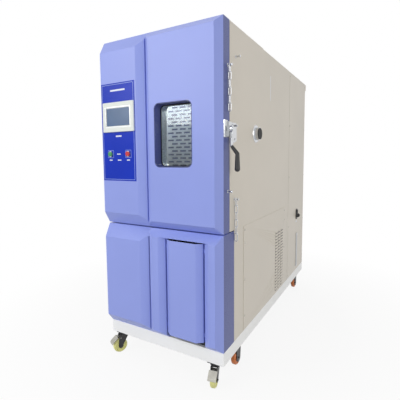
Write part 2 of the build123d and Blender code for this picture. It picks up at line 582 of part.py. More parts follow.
def base_frame():
    """Welded frame of inward-facing channels under a deck plate."""
    frame = block(0, CAB_W, BASE_FRONT, CAB_BACK, BASE_BOTTOM, BASE_TOP)
    frame -= block(BASE_WALL, CAB_W - BASE_WALL, BASE_FRONT + BASE_WALL, CAB_BACK - BASE_WALL,
                   BASE_BOTTOM + BASE_WALL, BASE_TOP - BASE_WALL)
    cross_y = RIGIDS[0][1] - BEAM_W / 2
    bays = ((BASE_FRONT + BEAM_W, cross_y), (cross_y + BEAM_W, CAB_BACK - REAR_BEAM_W))
    for y0, y1 in bays:
        frame -= block(BEAM_W, CAB_W - BEAM_W, y0, y1, BASE_BOTTOM - 1, BASE_BOTTOM + BASE_WALL + 1)
    for y0, y1 in bays:
        for y in (y0, y1):
            inward = BASE_WALL if y == y0 else -BASE_WALL
            near, far = sorted((y, y - inward))
            frame += block(BASE_WALL, CAB_W - BASE_WALL, near, far, BASE_BOTTOM, BASE_TOP - 1)
    return frame


def side_outline(lower_front):
    """Outline of a side panel, seen from the side, with its step behind the lower front panel."""
    return [(CAB_FRONT, LOW_TOP + SPLIT_GAP), (CAB_FRONT, SKIN_TOP), (SEAM_Y - SEAM_GAP / 2, SKIN_TOP),
            (SEAM_Y - SEAM_GAP / 2, BASE_TOP), (lower_front, BASE_TOP), (lower_front, LOW_TOP + SPLIT_GAP)]


def side_skin(x, back):
    """Flat side sheet from the front edge to a given y."""
    points = [(y if y != SEAM_Y - SEAM_GAP / 2 else back, z) for y, z in side_outline(LOW_BACK + 1)]
    return extrude(side_plane(x) * make_face(Polyline(*points, close=True)), amount=SHEET)


def right_side_panel():
    skin = side_skin(CAB_W - SHEET, SEAM_Y - SEAM_GAP / 2)
    skin += block(CAB_W - RETURN, CAB_W, CAB_FRONT, CAB_FRONT + SHEET, LOW_TOP + SPLIT_GAP, SKIN_TOP)
    skin += block(CAB_W - RETURN, CAB_W, SEAM_Y - SEAM_GAP / 2 - SHEET, SEAM_Y - SEAM_GAP / 2,
                  BASE_TOP, SKIN_TOP)
    skin -= rod_x(CAB_W - SHEET - 1, CAB_W + 1, PORT_Y, PORT_Z, PORT_R + CURVE_GAP)
    skin -= block(CAB_W - SHEET - 1, CAB_W + 1, ACC_Y0 + ACC_LAP, ACC_Y1 - ACC_LAP,
                  BASE_TOP + ACC_LAP, ACC_Z1 - ACC_LAP)
    return skin


def left_side_panel():
    skin = side_skin(0.0, CAB_BACK - SHEET)
    return skin + block(0, RETURN, CAB_FRONT, CAB_FRONT + SHEET, LOW_TOP + SPLIT_GAP, SKIN_TOP)


def rear_column_cover():
    y0 = SEAM_Y + SEAM_GAP / 2
    cover = block(CAB_W - SHEET, CAB_W, y0, CAB_BACK - SHEET, BASE_TOP, SKIN_TOP)
    cover += block(CAB_W - RETURN, CAB_W, y0, y0 + SHEET, BASE_TOP, SKIN_TOP)
    return cover - block(CAB_W - SHEET - 1, CAB_W + 1, GAUGE_Y - GAUGE_SLOT / 2, GAUGE_Y + GAUGE_SLOT / 2,
                         GAUGE_Z0 + GAUGE_SLOT, GAUGE_Z1 - GAUGE_SLOT)


def rear_panel():
    sheet = block(0, CAB_W, CAB_BACK - SHEET, CAB_BACK, BASE_TOP, SKIN_TOP)
    for col in range(VENT_COLS):
        x = CAB_W / 2 + (col - (VENT_COLS - 1) / 2) * (VENT_W + VENT_COL_GAP)
        for row in range(VENT_ROWS):
            z = VENT_Z0 + row * VENT_PITCH
            sheet -= block(x - VENT_W / 2, x + VENT_W / 2, CAB_BACK - SHEET - 1, CAB_BACK + 1,
                           z, z + VENT_H)
    for x, z, r in ((DRAIN_X, DRAIN_Z, DRAIN_R), (GLAND_X, GLAND_Z, GLAND_R - GLAND_STEP)):
        sheet -= rod_y(CAB_BACK - SHEET - 1, CAB_BACK + 1, x, z, r + CURVE_GAP)
    return sheet


def lid(y0, y1, top):
    """Shallow lid with a folded skirt."""
    outer = block(0, CAB_W, y0, y1, SKIN_TOP, top)
    return outer - block(SHEET, CAB_W - SHEET, y0 + SHEET, y1 - SHEET, SKIN_TOP - 1, top - SHEET)


def top_cover():
    front = lid(CAB_FRONT, LID_SPLIT_Y - LID_GAP / 2, CAB_H)
    rear_top = CAB_H - LID_STEP
    rear = lid(LID_SPLIT_Y + LID_GAP / 2, CAB_BACK + HOOD_REACH, rear_top)
    hood = block(0, CAB_W, CAB_BACK, CAB_BACK + HOOD_REACH, rear_top - HOOD_DROP, rear_top)
    hood -= block(SHEET, CAB_W - SHEET, CAB_BACK - 1, CAB_BACK + HOOD_REACH - SHEET,
                  rear_top - HOOD_DROP - 1, rear_top - SHEET)
    return [front, rear + hood]


def chamber_liner():
    """Stainless box with a flange round its mouth, rails for the shelf and holes for fan and port."""
    t = SHEET
    box = block(CAV_LEFT - t, CAV_RIGHT + t, CAB_FRONT, CAV_BACK + t, CAV_BOTTOM - t, CAV_TOP + t)
    box += block(RETURN, CAB_W - RETURN, CAB_FRONT, CAB_FRONT + t, LOW_TOP + SPLIT_GAP, SKIN_TOP)
    box -= block(CAV_LEFT, CAV_RIGHT, CAB_FRONT - 1, CAV_BACK, CAV_BOTTOM, CAV_TOP)
    box -= rod_x(CAV_RIGHT - 1, CAV_RIGHT + t + 1, PORT_Y, PORT_Z, PORT_R + CURVE_GAP)
    box -= rod_y(CAV_BACK - 1, CAV_BACK + t + 1, FAN_X, FAN_Z, SHAFT_HOLE_R)
    for x0, x1 in ((CAV_LEFT, CAV_LEFT + RAIL_W), (CAV_RIGHT - RAIL_W, CAV_RIGHT)):
        top = SHELF_Z - SHELF_WIRE_R - CURVE_GAP
        box += block(x0, x1, CAB_FRONT + RAIL_FRONT_GAP, BAFFLE_Y - RAIL_BACK_GAP, top - RAIL_T, top)
    return box


def chamber_insulation():
    t = SHEET
    foam = block(t, CAB_W - t, CAB_FRONT + t, INSUL_BACK, LOW_TOP + SPLIT_GAP, SKIN_TOP)
    foam -= block(CAV_LEFT - t, CAV_RIGHT + t, CAB_FRONT, CAV_BACK + t, CAV_BOTTOM - t, CAV_TOP + t)
    foam -= rod_x(CAV_RIGHT, CAB_W, PORT_Y, PORT_Z, PORT_R + CURVE_GAP)
    return foam - rod_y(CAV_BACK, INSUL_BACK + 1, FAN_X, FAN_Z, SHAFT_HOLE_R)


def air_baffle():
    """Slotted sheet in front of the coil; the air comes back over its top edge."""
    sheet = block(CAV_LEFT, CAV_RIGHT, BAFFLE_Y, BAFFLE_Y + SHEET, CAV_BOTTOM, BAFFLE_TOP)
    rows = int((BAFFLE_TOP - CAV_BOTTOM - 2 * SLOT_MARGIN) // SLOT_PITCH_Z) + 1
    span = CAV_RIGHT - CAV_LEFT - 2 * SLOT_MARGIN
    cutters = []
    for row in range(rows):
        shift = 0.0 if row % 2 else SLOT_PITCH_X / 2
        count = int((span - shift - SLOT_L) // SLOT_PITCH_X) + 1
        z = CAV_BOTTOM + SLOT_MARGIN + row * SLOT_PITCH_Z
        for col in range(count):
            x = CAV_LEFT + SLOT_MARGIN + shift + col * SLOT_PITCH_X
            cutters.append(block(x, x + SLOT_L, BAFFLE_Y - 1, BAFFLE_Y + SHEET + 1, z, z + SLOT_H))
    sheet -= cutters
    for x0, x1 in ((CAV_LEFT, CAV_LEFT + SHEET), (CAV_RIGHT - SHEET, CAV_RIGHT)):
        sheet += block(x0, x1, BAFFLE_Y, CAV_BACK, BAFFLE_TOP - BAFFLE_TAB, BAFFLE_TOP)
    return sheet


def port_flange():
    """Tube through the insulation with a flange and a stub on the outside."""
    part = rod_x(CAV_RIGHT, CAB_W + PORT_OUT, PORT_Y, PORT_Z, PORT_R)
    part += rod_x(CAB_W, CAB_W + PORT_FLANGE_T, PORT_Y, PORT_Z, PORT_FLANGE_R)
    part = chamfer(part.faces().filter_by(Axis.X).sort_by(Axis.X)[-2].edges().sort_by(SortBy.LENGTH)[-1],
                   PORT_FLANGE_SLOPE)
    return part - rod_x(CAV_RIGHT - 1, CAB_W + PORT_OUT + 1, PORT_Y, PORT_Z, PORT_BORE_R)


def port_plug():
    x1 = CAB_W + PORT_OUT
    plug = rod_x(x1 - PLUG_INNER, x1, PORT_Y, PORT_Z, PORT_BORE_R - PLUG_GAP)
    plug += rod_x(x1, x1 + PLUG_LIP, PORT_Y, PORT_Z, PORT_R - PLUG_LIP_IN)
    return plug


def circulation_fan():
    """Centrifugal wheel on a long shaft that the motor carries."""
    disc = rod_y(FAN_Y1, FAN_Y1 + FAN_DISC_T, FAN_X, FAN_Z, FAN_R)
    hub = rod_y(FAN_Y0 + FAN_HUB_IN, FAN_Y1, FAN_X, FAN_Z, FAN_HUB_R)
    shaft = rod_y(FAN_Y1 + FAN_DISC_T, INSUL_BACK + MOTOR_L / 2, FAN_X, FAN_Z, SHAFT_R)
    wheel = disc + hub + shaft
    for i in range(FAN_BLADES):
        blade = Pos(FAN_R - BLADE_INSET, 0, 0) * Rot(0, 30, 0) * Box(BLADE_L, FAN_Y1 - FAN_Y0, BLADE_T)
        wheel += Pos(FAN_X, (FAN_Y0 + FAN_Y1) / 2, FAN_Z) * Rot(0, 360 / FAN_BLADES * i, 0) * blade
    return wheel


def fan_motors():
    bore = SHAFT_R + SHAFT_CLEAR
    main = rod_y(INSUL_BACK, INSUL_BACK + MOTOR_L, FAN_X, FAN_Z, MOTOR_R)
    half = MOTOR_PLATE_HALF
    main += block(FAN_X - half, FAN_X + half, INSUL_BACK, INSUL_BACK + MOTOR_PLATE_T,
                  FAN_Z - half, FAN_Z + half)
    main -= rod_y(INSUL_BACK - 1, INSUL_BACK + MOTOR_L / 2 + 1, FAN_X, FAN_Z, bore)
    y = (COND_Y0 + COND_Y1) / 2
    x1 = COND_FAN_X0 - COND_MOTOR_GAP
    side = rod_x(x1 - COND_MOTOR_L, x1, y, COND_FAN_Z, COND_MOTOR_R)
    side -= rod_x(x1 - COND_MOTOR_BORE, x1 + 1, y, COND_FAN_Z, bore)
    side += block(x1 - COND_MOTOR_L + COND_STAND_INSET, x1 - COND_STAND_INSET, y - COND_STAND_HALF,
                  y + COND_STAND_HALF, BASE_TOP, COND_FAN_Z - COND_MOTOR_R + COND_STAND_LAP)
    return [main, side]


def condenser_fan():
    y = (COND_Y0 + COND_Y1) / 2
    fan = rod_x(COND_FAN_X0, COND_FAN_X1, y, COND_FAN_Z, COND_HUB_R)
    fan += rod_x(COND_FAN_X0 - COND_SHAFT_L, COND_FAN_X0, y, COND_FAN_Z, SHAFT_R)
    span = COND_FAN_R - COND_BLADE_START
    for i in range(COND_BLADES):
        blade = Pos(0, 0, COND_FAN_R - span / 2) * Rot(0, 0, 35) * Box(COND_BLADE_T, COND_BLADE_W, span)
        turned = Rot(360 / COND_BLADES * i, 0, 0) * blade
        fan += Pos((COND_FAN_X0 + COND_FAN_X1) / 2, y, COND_FAN_Z) * turned
    return fan


def finned_coil(x0, x1, y0, y1, z0, z1, fins, along_x):
    """Coil block: a core with end plates and fins round it, and the ends of the tubes."""
    length = (x1 - x0) if along_x else (y1 - y0)
    if along_x:
        coil = block(x0, x1, y0 + FIN_D, y1 - FIN_D, z0, z1)
    else:
        coil = block(x0 + FIN_D, x1 - FIN_D, y0, y1, z0, z1)
    for i in range(fins + 1):
        thick = END_PLATE_T if i in (0, fins) else FIN_T
        start = min(length * i / fins, length - thick)
        if along_x:
            coil += block(x0 + start, x0 + start + thick, y0, y1, z0, z1)
        else:
            coil += block(x0, x1, y0 + start, y0 + start + thick, z0, z1)
    for i in range(TUBES):
        z = z0 + (z1 - z0) * (i + 0.5) / TUBES
        for a, b in ((-TUBE_OUT, 0), (length, length + TUBE_OUT)):
            if along_x:
                coil += rod_x(x0 + a, x0 + b, (y0 + y1) / 2, z, TUBE_R)
            else:
                coil += rod_y(y0 + a, y0 + b, (x0 + x1) / 2, z, TUBE_R)
    return coil


def evaporator():
    coil = finned_coil(EVAP_LEFT, EVAP_RIGHT, EVAP_Y0, EVAP_Y1, CAV_BOTTOM + EVAP_RAISE, EVAP_TOP,
                       EVAP_FINS, True)
    for x in (EVAP_LEFT, EVAP_RIGHT - END_PLATE_T):
        coil += block(x, x + END_PLATE_T, EVAP_Y0, EVAP_Y1, CAV_BOTTOM, CAV_BOTTOM + EVAP_RAISE)
    return coil


def condenser():
    foot_top = BASE_TOP + COND_FOOT
    coil = finned_coil(COND_X0, COND_X1, COND_Y0, COND_Y1, foot_top, COND_Z1, COND_FINS, False)
    for y in (COND_Y0, COND_Y1 - END_PLATE_T):
        coil += block(COND_X0, COND_X1, y, y + END_PLATE_T, BASE_TOP, foot_top)
    return coil


def compressors():
    """Cans with sloping shoulders on rubber-footed base plates."""
    inner = CAN_R - CAN_SHOULDER_W
    profile = [(0, 0), (inner, 0), (CAN_R, CAN_SHOULDER_H), (CAN_R, CAN_H - CAN_SHOULDER_H),
               (inner, CAN_H), (0, CAN_H)]
    turned = revolve(Plane.XZ * make_face(Polyline(*profile, close=True)), Axis.Z)
    half = CAN_PLATE_HALF
    plate_top = BASE_TOP + CAN_FOOT
    at = half - CAN_RUBBER_IN
    cans = []
    for y in CAN_Y:
        can = Pos(CAN_X, y, plate_top) * turned
        can += block(CAN_X - half, CAN_X + half, y - half, y + half, plate_top - CAN_PLATE_T, plate_top)
        for dx in (-at, at):
            for dy in (-at, at):
                can += rod_z(BASE_TOP, plate_top - CAN_PLATE_T, CAN_X + dx, y + dy, CAN_RUBBER_R)
        cans.append(can)
    return cans


def electrical_box():
    """Mounting plate with its gear, standing on feet behind the insulation."""
    front = EBOX_Y1 - EBOX_T
    box = block(EBOX_X0, EBOX_X1, front, EBOX_Y1, EBOX_Z0, EBOX_Z1)
    step = (EBOX_Z1 - EBOX_Z0 - GEAR_LOW - GEAR_HIGH) / (GEAR_ROWS - 1)
    for i in range(GEAR_ROWS):
        z = EBOX_Z0 + GEAR_LOW + i * step
        box += block(EBOX_X0 + EBOX_RIM, EBOX_X1 - EBOX_RIM, EBOX_Y0, front, z, z + GEAR_H)
    for x in (EBOX_X0, EBOX_X1 - EBOX_FOOT_W):
        box += block(x, x + EBOX_FOOT_W, front, EBOX_Y1, BASE_TOP, EBOX_Z0)
    return box


def side_access_panel():
    """Cover over the machine compartment, with a field of pressed louvres."""
    x = CAB_W
    panel = block(x, x + ACC_T, ACC_Y0, ACC_Y1, ACC_Z0, ACC_Z1)
    col_w = (LOUVRE_Y1 - LOUVRE_Y0 - LOUVRE_GAP_Y * (LOUVRE_COLS - 1)) / LOUVRE_COLS
    pitch = (LOUVRE_Z1 - LOUVRE_Z0) / LOUVRE_ROWS
    cuts, hoods = [], []
    for col in range(LOUVRE_COLS):
        y = LOUVRE_Y0 + col * (col_w + LOUVRE_GAP_Y)
        for row in range(LOUVRE_ROWS):
            z = LOUVRE_Z0 + row * pitch
            low = z + LOUVRE_FOOT
            cuts.append(block(x - 1, x + ACC_T + 1, y, y + col_w, low, z + pitch * 0.45))
            hood = [(x + ACC_T, z + pitch * 0.75), (x + ACC_T, z + pitch * 0.45),
                    (x + LOUVRE_OUT, low), (x + LOUVRE_OUT + LOUVRE_SHEET, low)]
            face = Plane(origin=(0, y + col_w, 0), x_dir=(1, 0, 0), z_dir=(0, -1, 0))
            hoods.append(extrude(face * make_face(Polyline(*hood, close=True)), amount=col_w))
    panel -= cuts
    return panel + hoods


def water_inlet():
    """Black plate with a filler neck that turns down to a spout, and a lug above it."""
    half_w, reach, low, high = INLET_LUG
    front = CAB_W + INLET_PLATE_T
    z = INLET_Z - INLET_DROP
    plate = Pos(CAB_W + INLET_PLATE_T / 2, INLET_Y, INLET_Z) * Rot(0, 90, 0) * extrude(
        RectangleRounded(INLET_H, INLET_W, INLET_R), amount=INLET_PLATE_T / 2, both=True)
    plate += rod_x(front, CAB_W + INLET_OUT, INLET_Y, z, INLET_BODY_R)
    plate += rod_x(CAB_W + INLET_OUT, CAB_W + INLET_OUT + SPOUT_L, INLET_Y, z, SPOUT_R)
    return plate + block(front, CAB_W + reach, INLET_Y - half_w, INLET_Y + half_w,
                         INLET_Z + low, INLET_Z + high)


def level_gauge():
    frame = block(CAB_W, CAB_W + GAUGE_T, GAUGE_Y - GAUGE_W / 2, GAUGE_Y + GAUGE_W / 2,
                  GAUGE_Z0, GAUGE_Z1)
    frame -= block(CAB_W - 1, CAB_W + GAUGE_T + 1, GAUGE_Y - GAUGE_SLOT / 2, GAUGE_Y + GAUGE_SLOT / 2,
                   GAUGE_Z0 + GAUGE_SLOT, GAUGE_Z1 - GAUGE_SLOT)
    return frame + rod_z(GAUGE_Z0 + GAUGE_SLOT, GAUGE_Z1 - GAUGE_SLOT, CAB_W + 1, GAUGE_Y, GAUGE_TUBE_R)


def rear_outlets():
    """Drain pipe, and the gland that the mains cable goes in through."""
    end = CAB_BACK + DRAIN_OUT
    drain = rod_y(CAB_BACK - DRAIN_IN, end, DRAIN_X, DRAIN_Z, DRAIN_R)
    drain += rod_y(CAB_BACK, CAB_BACK + DRAIN_RIM_T, DRAIN_X, DRAIN_Z, DRAIN_R + DRAIN_RIM)
    drain -= rod_y(CAB_BACK - DRAIN_IN - 1, end + 1, DRAIN_X, DRAIN_Z, DRAIN_R - DRAIN_WALL)
    hexagon = Pos(GLAND_X, CAB_BACK, GLAND_Z) * Rot(-90, 0, 0) * extrude(
        RegularPolygon(GLAND_R, 6), amount=GLAND_OUT)
    gland = hexagon + rod_y(CAB_BACK - GLAND_IN, CAB_BACK, GLAND_X, GLAND_Z, GLAND_R - GLAND_STEP)
    gland -= rod_y(CAB_BACK - GLAND_IN - 1, CAB_BACK + GLAND_OUT + 1, GLAND_X, GLAND_Z, GLAND_BORE_R)
    return [drain, gland]


def leaf_set(side, z):
    """One half of a hinge: its leaf, its knuckles, and on the frame side the pin."""
    third = HINGE_H / 3
    z0 = z - HINGE_H / 2
    if side == "frame":
        spans = ((z0, z0 + third - KNUCKLE_GAP), (z0 + 2 * third + KNUCKLE_GAP, z0 + HINGE_H))
        y0, y1 = HINGE_Y + HINGE_R + LEAF_CLEAR, HINGE_Y + LEAF_W
    else:
        spans = ((z0 + third, z0 + 2 * third),)
        y0, y1 = HINGE_Y - LEAF_W, HINGE_Y - HINGE_R - LEAF_CLEAR
    half = block(-LEAF_T, 0, y0, y1, z0, z0 + HINGE_H)
    for a, b in spans:
        half += rod_z(a, b, HINGE_X, HINGE_Y, HINGE_R)
        half += block(-LEAF_T, 0, min(y0, HINGE_Y), max(y1, HINGE_Y), a, b)
        half += block(HINGE_X, -LEAF_T, HINGE_Y - LEAF_NECK, HINGE_Y + LEAF_NECK, a, b)
    if side == "frame":
        return half + rod_z(z0, z0 + HINGE_H, HINGE_X, HINGE_Y, HINGE_PIN_R)
    return half - rod_z(z0 - 1, z0 + HINGE_H + 1, HINGE_X, HINGE_Y, HINGE_PIN_R + HINGE_PIN_GAP)


def latch_housing():
    z0, z1 = LATCH_Z - LATCH_H / 2, LATCH_Z + LATCH_H / 2
    pad = block(CAB_W, CAB_W + PAD_T, PAD_Y0, PAD_Y1, z0, z1)
    body = block(CAB_W, CAB_W + HOUSING_T, PAD_Y1, HOUSING_Y1, z0 + HOUSING_IN, z1 - HOUSING_IN)
    body = fillet(body.edges().filter_by(Axis.Y).sort_by(Axis.X)[-2:], HOUSING_R)
    end = LEVER_X1 + CAP_REACH
    boss = rod_x(CAB_W + HOUSING_T, LEVER_X0 - CURVE_GAP, LATCH_Y, LATCH_Z, HUB_R)
    pin = rod_x(CAB_W, end, LATCH_Y, LATCH_Z, LEVER_PIN_R)
    cap = rod_x(LEVER_X1 + CURVE_GAP, end, LATCH_Y, LATCH_Z, LEVER_PIN_R + CAP_RIM)
    return pad + body + boss + pin + cap


def grip_plane():
    """Plane across the start of the grip, facing along the grip's oblique part."""
    x = (LEVER_X0 + LEVER_X1) / 2
    return Plane(origin=(x, LATCH_Y, NECK_Z), x_dir=(0, 1, 0), z_dir=(GRIP_X - x, 0, GRIP_BEND_Z - NECK_Z))


def tang(extra, start):
    """Rod on the lever that the grip is pushed onto, or with extra radius the hole for it."""
    return grip_plane() * Pos(0, 0, (start + TANG_L) / 2) * Cylinder(TANG_R + extra, TANG_L - start)


def latch_lever():
    """Hub, neck with a tang for the grip, and the claw that goes behind the strike."""
    x = (LEVER_X0 + LEVER_X1) / 2
    hub = rod_x(LEVER_X0, LEVER_X1, LATCH_Y, LATCH_Z, HUB_R)
    fall = (LEVER_X1 - x) * (GRIP_X - x) / (NECK_Z - GRIP_BEND_Z)
    outline = [(LEVER_X0, LATCH_Z), (LEVER_X1, LATCH_Z), (LEVER_X1, NECK_Z + fall), (LEVER_X0, NECK_Z - fall)]
    side = Plane(origin=(0, LATCH_Y + NECK_W / 2, 0), x_dir=(1, 0, 0), z_dir=(0, -1, 0))
    neck = extrude(side * make_face(Polyline(*outline, close=True)), amount=NECK_W)
    ring = Pos(LEVER_X0, LATCH_Y, LATCH_Z) * side_disc(CLAW_R1, CLAW_T)
    ring -= Pos(LEVER_X0 - 1, LATCH_Y, LATCH_Z) * side_disc(CLAW_R0, CLAW_T + 2)
    arc = ring & claw_sector()
    arm = Pos(LEVER_X0 + CLAW_T / 2, LATCH_Y, LATCH_Z) * Rot(CLAW_ARM_DEG, 0, 0) * (
        Pos(0, CLAW_R1 / 2, 0) * Box(CLAW_T, CLAW_R1 - 2, CLAW_ARM_W))
    lever = hub + neck + tang(0.0, -TANG_SUNK) + arc + arm
    return lever - rod_x(LEVER_X0 - 1, LEVER_X1 + 1, LATCH_Y, LATCH_Z, LEVER_PIN_R + AXLE_GAP)


def side_disc(r, thick):
    """Disc lying in the side plane, with its near face at x = 0."""
    return Pos(thick / 2, 0, 0) * Rot(0, 90, 0) * Cylinder(r, thick)


def claw_sector():
    """Wedge between the claw's arm and its tip, seen from the side."""
    reach = CLAW_R1 * 1.6
    points = [(0, 0)]
    for angle in (CLAW_ARM_DEG, CLAW_TIP_DEG):
        points.append((reach * cos(radians(angle)), reach * sin(radians(angle))))
    moved = [(LATCH_Y + y, LATCH_Z + z) for y, z in points]
    return extrude(side_plane(LEVER_X0 - 2) * make_face(Polyline(*moved, close=True)), amount=CLAW_T + 4)


def lever_grip():
    """Grip that comes away obliquely from the neck, then hangs down and ends in a ball."""
    x = (LEVER_X0 + LEVER_X1) / 2
    length = hypot(GRIP_X - x, NECK_Z - GRIP_BEND_Z)
    grip = grip_plane() * Pos(0, 0, length / 2) * Cone(GRIP_R_NECK, GRIP_R_BEND, length)
    grip += Pos(GRIP_X, LATCH_Y, GRIP_BEND_Z) * Sphere(GRIP_R_BEND)
    end = GRIP_Z0 + GRIP_R_END
    grip += Pos(GRIP_X, LATCH_Y, (end + GRIP_BEND_Z) / 2) * Cone(GRIP_R_END, GRIP_R_BEND, GRIP_BEND_Z - end)
    grip += Pos(GRIP_X, LATCH_Y, end) * Sphere(GRIP_R_END)
    return grip - tang(AXLE_GAP, -2 * TANG_SUNK)


def latch_strike():
    """Plate with a collar, and the pin that the claw goes behind."""
    y = LATCH_Y + STRIKE_DIST * cos(radians(STRIKE_DEG))
    z = LATCH_Z + STRIKE_DIST * sin(radians(STRIKE_DEG))
    plate = block(CAB_W, CAB_W + STRIKE_T, STRIKE_Y0, STRIKE_Y1, STRIKE_Z0, STRIKE_Z1)
    plate = fillet(plate.edges().filter_by(Axis.X), STRIKE_CORNER)
    pin_x = CAB_W + STRIKE_T + STRIKE_COLLAR
    plate += rod_x(CAB_W + STRIKE_T, pin_x, y, z, STRIKE_R + STRIKE_RIM)
    return [plate, rod_x(pin_x, STRIKE_X1, y, z, STRIKE_R)]


def stud(y, z):
    shank = rod_x(CAB_W, CAB_W + STUD_OUT, y, z, STUD_R)
    foot = rod_x(CAB_W, CAB_W + STUD_FOOT_T, y, z, STUD_HEAD_R + 1)
    head = rod_x(CAB_W + STUD_OUT - STUD_HEAD_T, CAB_W + STUD_OUT, y, z, STUD_HEAD_R)
    return shank + head + foot


def chain_link(z_top, flat):
    """Oval link of round wire; flat links lie along the side, the others stand out from it."""
    half = LINK_PITCH / 2 - LINK_IN_R
    mid_r = LINK_IN_R + LINK_WIRE_R
    path = Polyline((-mid_r, half), (-mid_r, -half)) + ThreePointArc(
        (-mid_r, -half), (0, -half - mid_r), (mid_r, -half)) + Polyline(
        (mid_r, -half), (mid_r, half)) + ThreePointArc((mid_r, half), (0, half + mid_r), (-mid_r, half))
    wire = Wire(path.edges())
    start = Plane(origin=(-mid_r, half, 0), z_dir=(0, -1, 0))
    link = sweep(start * Circle(LINK_WIRE_R), path=wire)
    upright = Rot(90, 0, 0) * link
    if flat:
        upright = Rot(0, 0, 90) * upright
    return Pos(CHAIN_X, 0, z_top - LINK_PITCH / 2) * upright


def chain(y, z):
    """Chain that hangs from a stud."""
    top = z + STUD_R + LINK_GAP
    return [Pos(0, y, 0) * chain_link(top - i * LINK_PITCH, i % 2 == 0) for i in range(LINKS)]


def wire_shelf():
    """Wire grid: thick wires in front and behind, thinner ones that run between them."""
    x0 = CAV_LEFT + SHELF_SIDE_GAP + SHELF_WIRE_R
    x1 = CAV_RIGHT - SHELF_SIDE_GAP - SHELF_WIRE_R
    shelf = rod_x(x0 - SHELF_WIRE_R, x1 + SHELF_WIRE_R, SHELF_FRONT, SHELF_Z, SHELF_WIRE_R)
    shelf += rod_x(x0 - SHELF_WIRE_R, x1 + SHELF_WIRE_R, SHELF_BACK, SHELF_Z, SHELF_WIRE_R)
    for x in (x0, x1):
        shelf += rod_y(SHELF_FRONT, SHELF_BACK, x, SHELF_Z, SHELF_SIDE_R)
    for i in range(1, SHELF_WIRES):
        x = x0 + (x1 - x0) * i / SHELF_WIRES
        shelf += rod_y(SHELF_FRONT, SHELF_BACK, x, SHELF_Z, SHELF_THIN_R)
    return shelf


def caster_wheel(x, y, turn):
    """Wheel with a rounded tread and a recessed hub, centred on its axle."""
    w = WHEEL_W / 2
    bore = AXLE_R + AXLE_GAP
    hub, hollow_in, hollow_out, bead = WHEEL_STEPS
    half = [(bore, w), (hub, w), (hollow_in, w - WHEEL_HOLLOW), (hollow_out, w - WHEEL_HOLLOW),
            (bead, w - 1), (WHEEL_R - TREAD_R, w - 1), (WHEEL_R, w - TREAD_EDGE)]
    profile = half + [(r, -z) for r, z in reversed(half)]
    turned = revolve(Plane.XZ * make_face(Polyline(*profile, close=True)), Axis.Z)
    return Pos(x, y, WHEEL_R) * Rot(0, 0, turn) * Rot(0, 90, 0) * turned


def fork_leg(x, y_top, top_z, y_axle, size):
    """Tapered leg with a rounded end round the axle."""
    top_w, end_r = size
    outline = [(y_top - top_w / 2, top_z), (y_top + top_w / 2, top_z),
               (y_axle + end_r, WHEEL_R + LEG_NECK), (y_axle + end_r, WHEEL_R),
               (y_axle - end_r, WHEEL_R), (y_axle - end_r, WHEEL_R + LEG_NECK)]
    leg = extrude(side_plane(x) * make_face(Polyline(*outline, close=True)), amount=FORK_T)
    return leg + rod_x(x, x + FORK_T, y_axle, WHEEL_R, end_r)


def fork_sides():
    """x of the two legs' inner and outer faces from the wheel's middle plane."""
    inner = WHEEL_W / 2 + FORK_SIDE_GAP
    return ((-inner - FORK_T, -inner), (inner, inner + FORK_T))


def swivel_fork(x, y, turn):
    """Fork that turns under its plate and trails the wheel; its axle is fixed in its legs."""
    top = BASE_BOTTOM - CASTER_PLATE_T - RACE_T
    fork = rod_z(top - FORK_TOP_T, top, 0, 0, RACE_R + FORK_RIM)
    fork += block(-WHEEL_W / 2 - FORK_SIDE_GAP - FORK_T, WHEEL_W / 2 + FORK_SIDE_GAP + FORK_T,
                  -TRAIL, SWIVEL_LEG[0] / 2 - FORK_SHORT, top - FORK_TOP_T, top - FORK_TOP_T + FORK_T)
    for x0, x1 in fork_sides():
        fork += fork_leg(x0, LEG_FORWARD - SWIVEL_LEG[0] / 2, top - FORK_TOP_T + FORK_T, -TRAIL, SWIVEL_LEG)
        fork -= rod_x(x0 - 1, x1 + 1, PEDAL_PIN[0], PEDAL_PIN[1], PEDAL_PIN_R + AXLE_GAP)
    outer = fork_sides()[1][1]
    fork += rod_x(-outer - AXLE_END, outer + AXLE_END, -TRAIL, WHEEL_R, AXLE_R)
    fork -= rod_z(top - FORK_TOP_T - 1, top + 1, 0, 0, KING_R + AXLE_GAP)
    return Pos(x, y, 0) * Rot(0, 0, turn) * fork


def brake_pedal(x, y, turn):
    """Bent plate over the wheel, hung on a pin through the fork's legs."""
    at, z = PEDAL_PIN
    half_x, half_y, half_z = PEDAL_LUG
    inner = fork_sides()[1][0] - PEDAL_SIDE_GAP
    outer = fork_sides()[1][1] + PEDAL_PIN_OUT
    plate = extrude(side_plane(-inner) * make_face(Polyline(*PEDAL_SHAPE, close=True)), amount=2 * inner)
    wing = PEDAL_SHAPE[1:-1]
    plate += extrude(side_plane(-PEDAL_W / 2) * make_face(Polyline(*wing, close=True)), amount=PEDAL_W)
    plate += rod_x(-outer, outer, at, z, PEDAL_PIN_R)
    plate += block(-half_x, half_x, at - half_y, at + half_y, z - half_z, z + half_z + PEDAL_PIN_R)
    return Pos(x, y, 0) * Rot(0, 0, turn) * plate


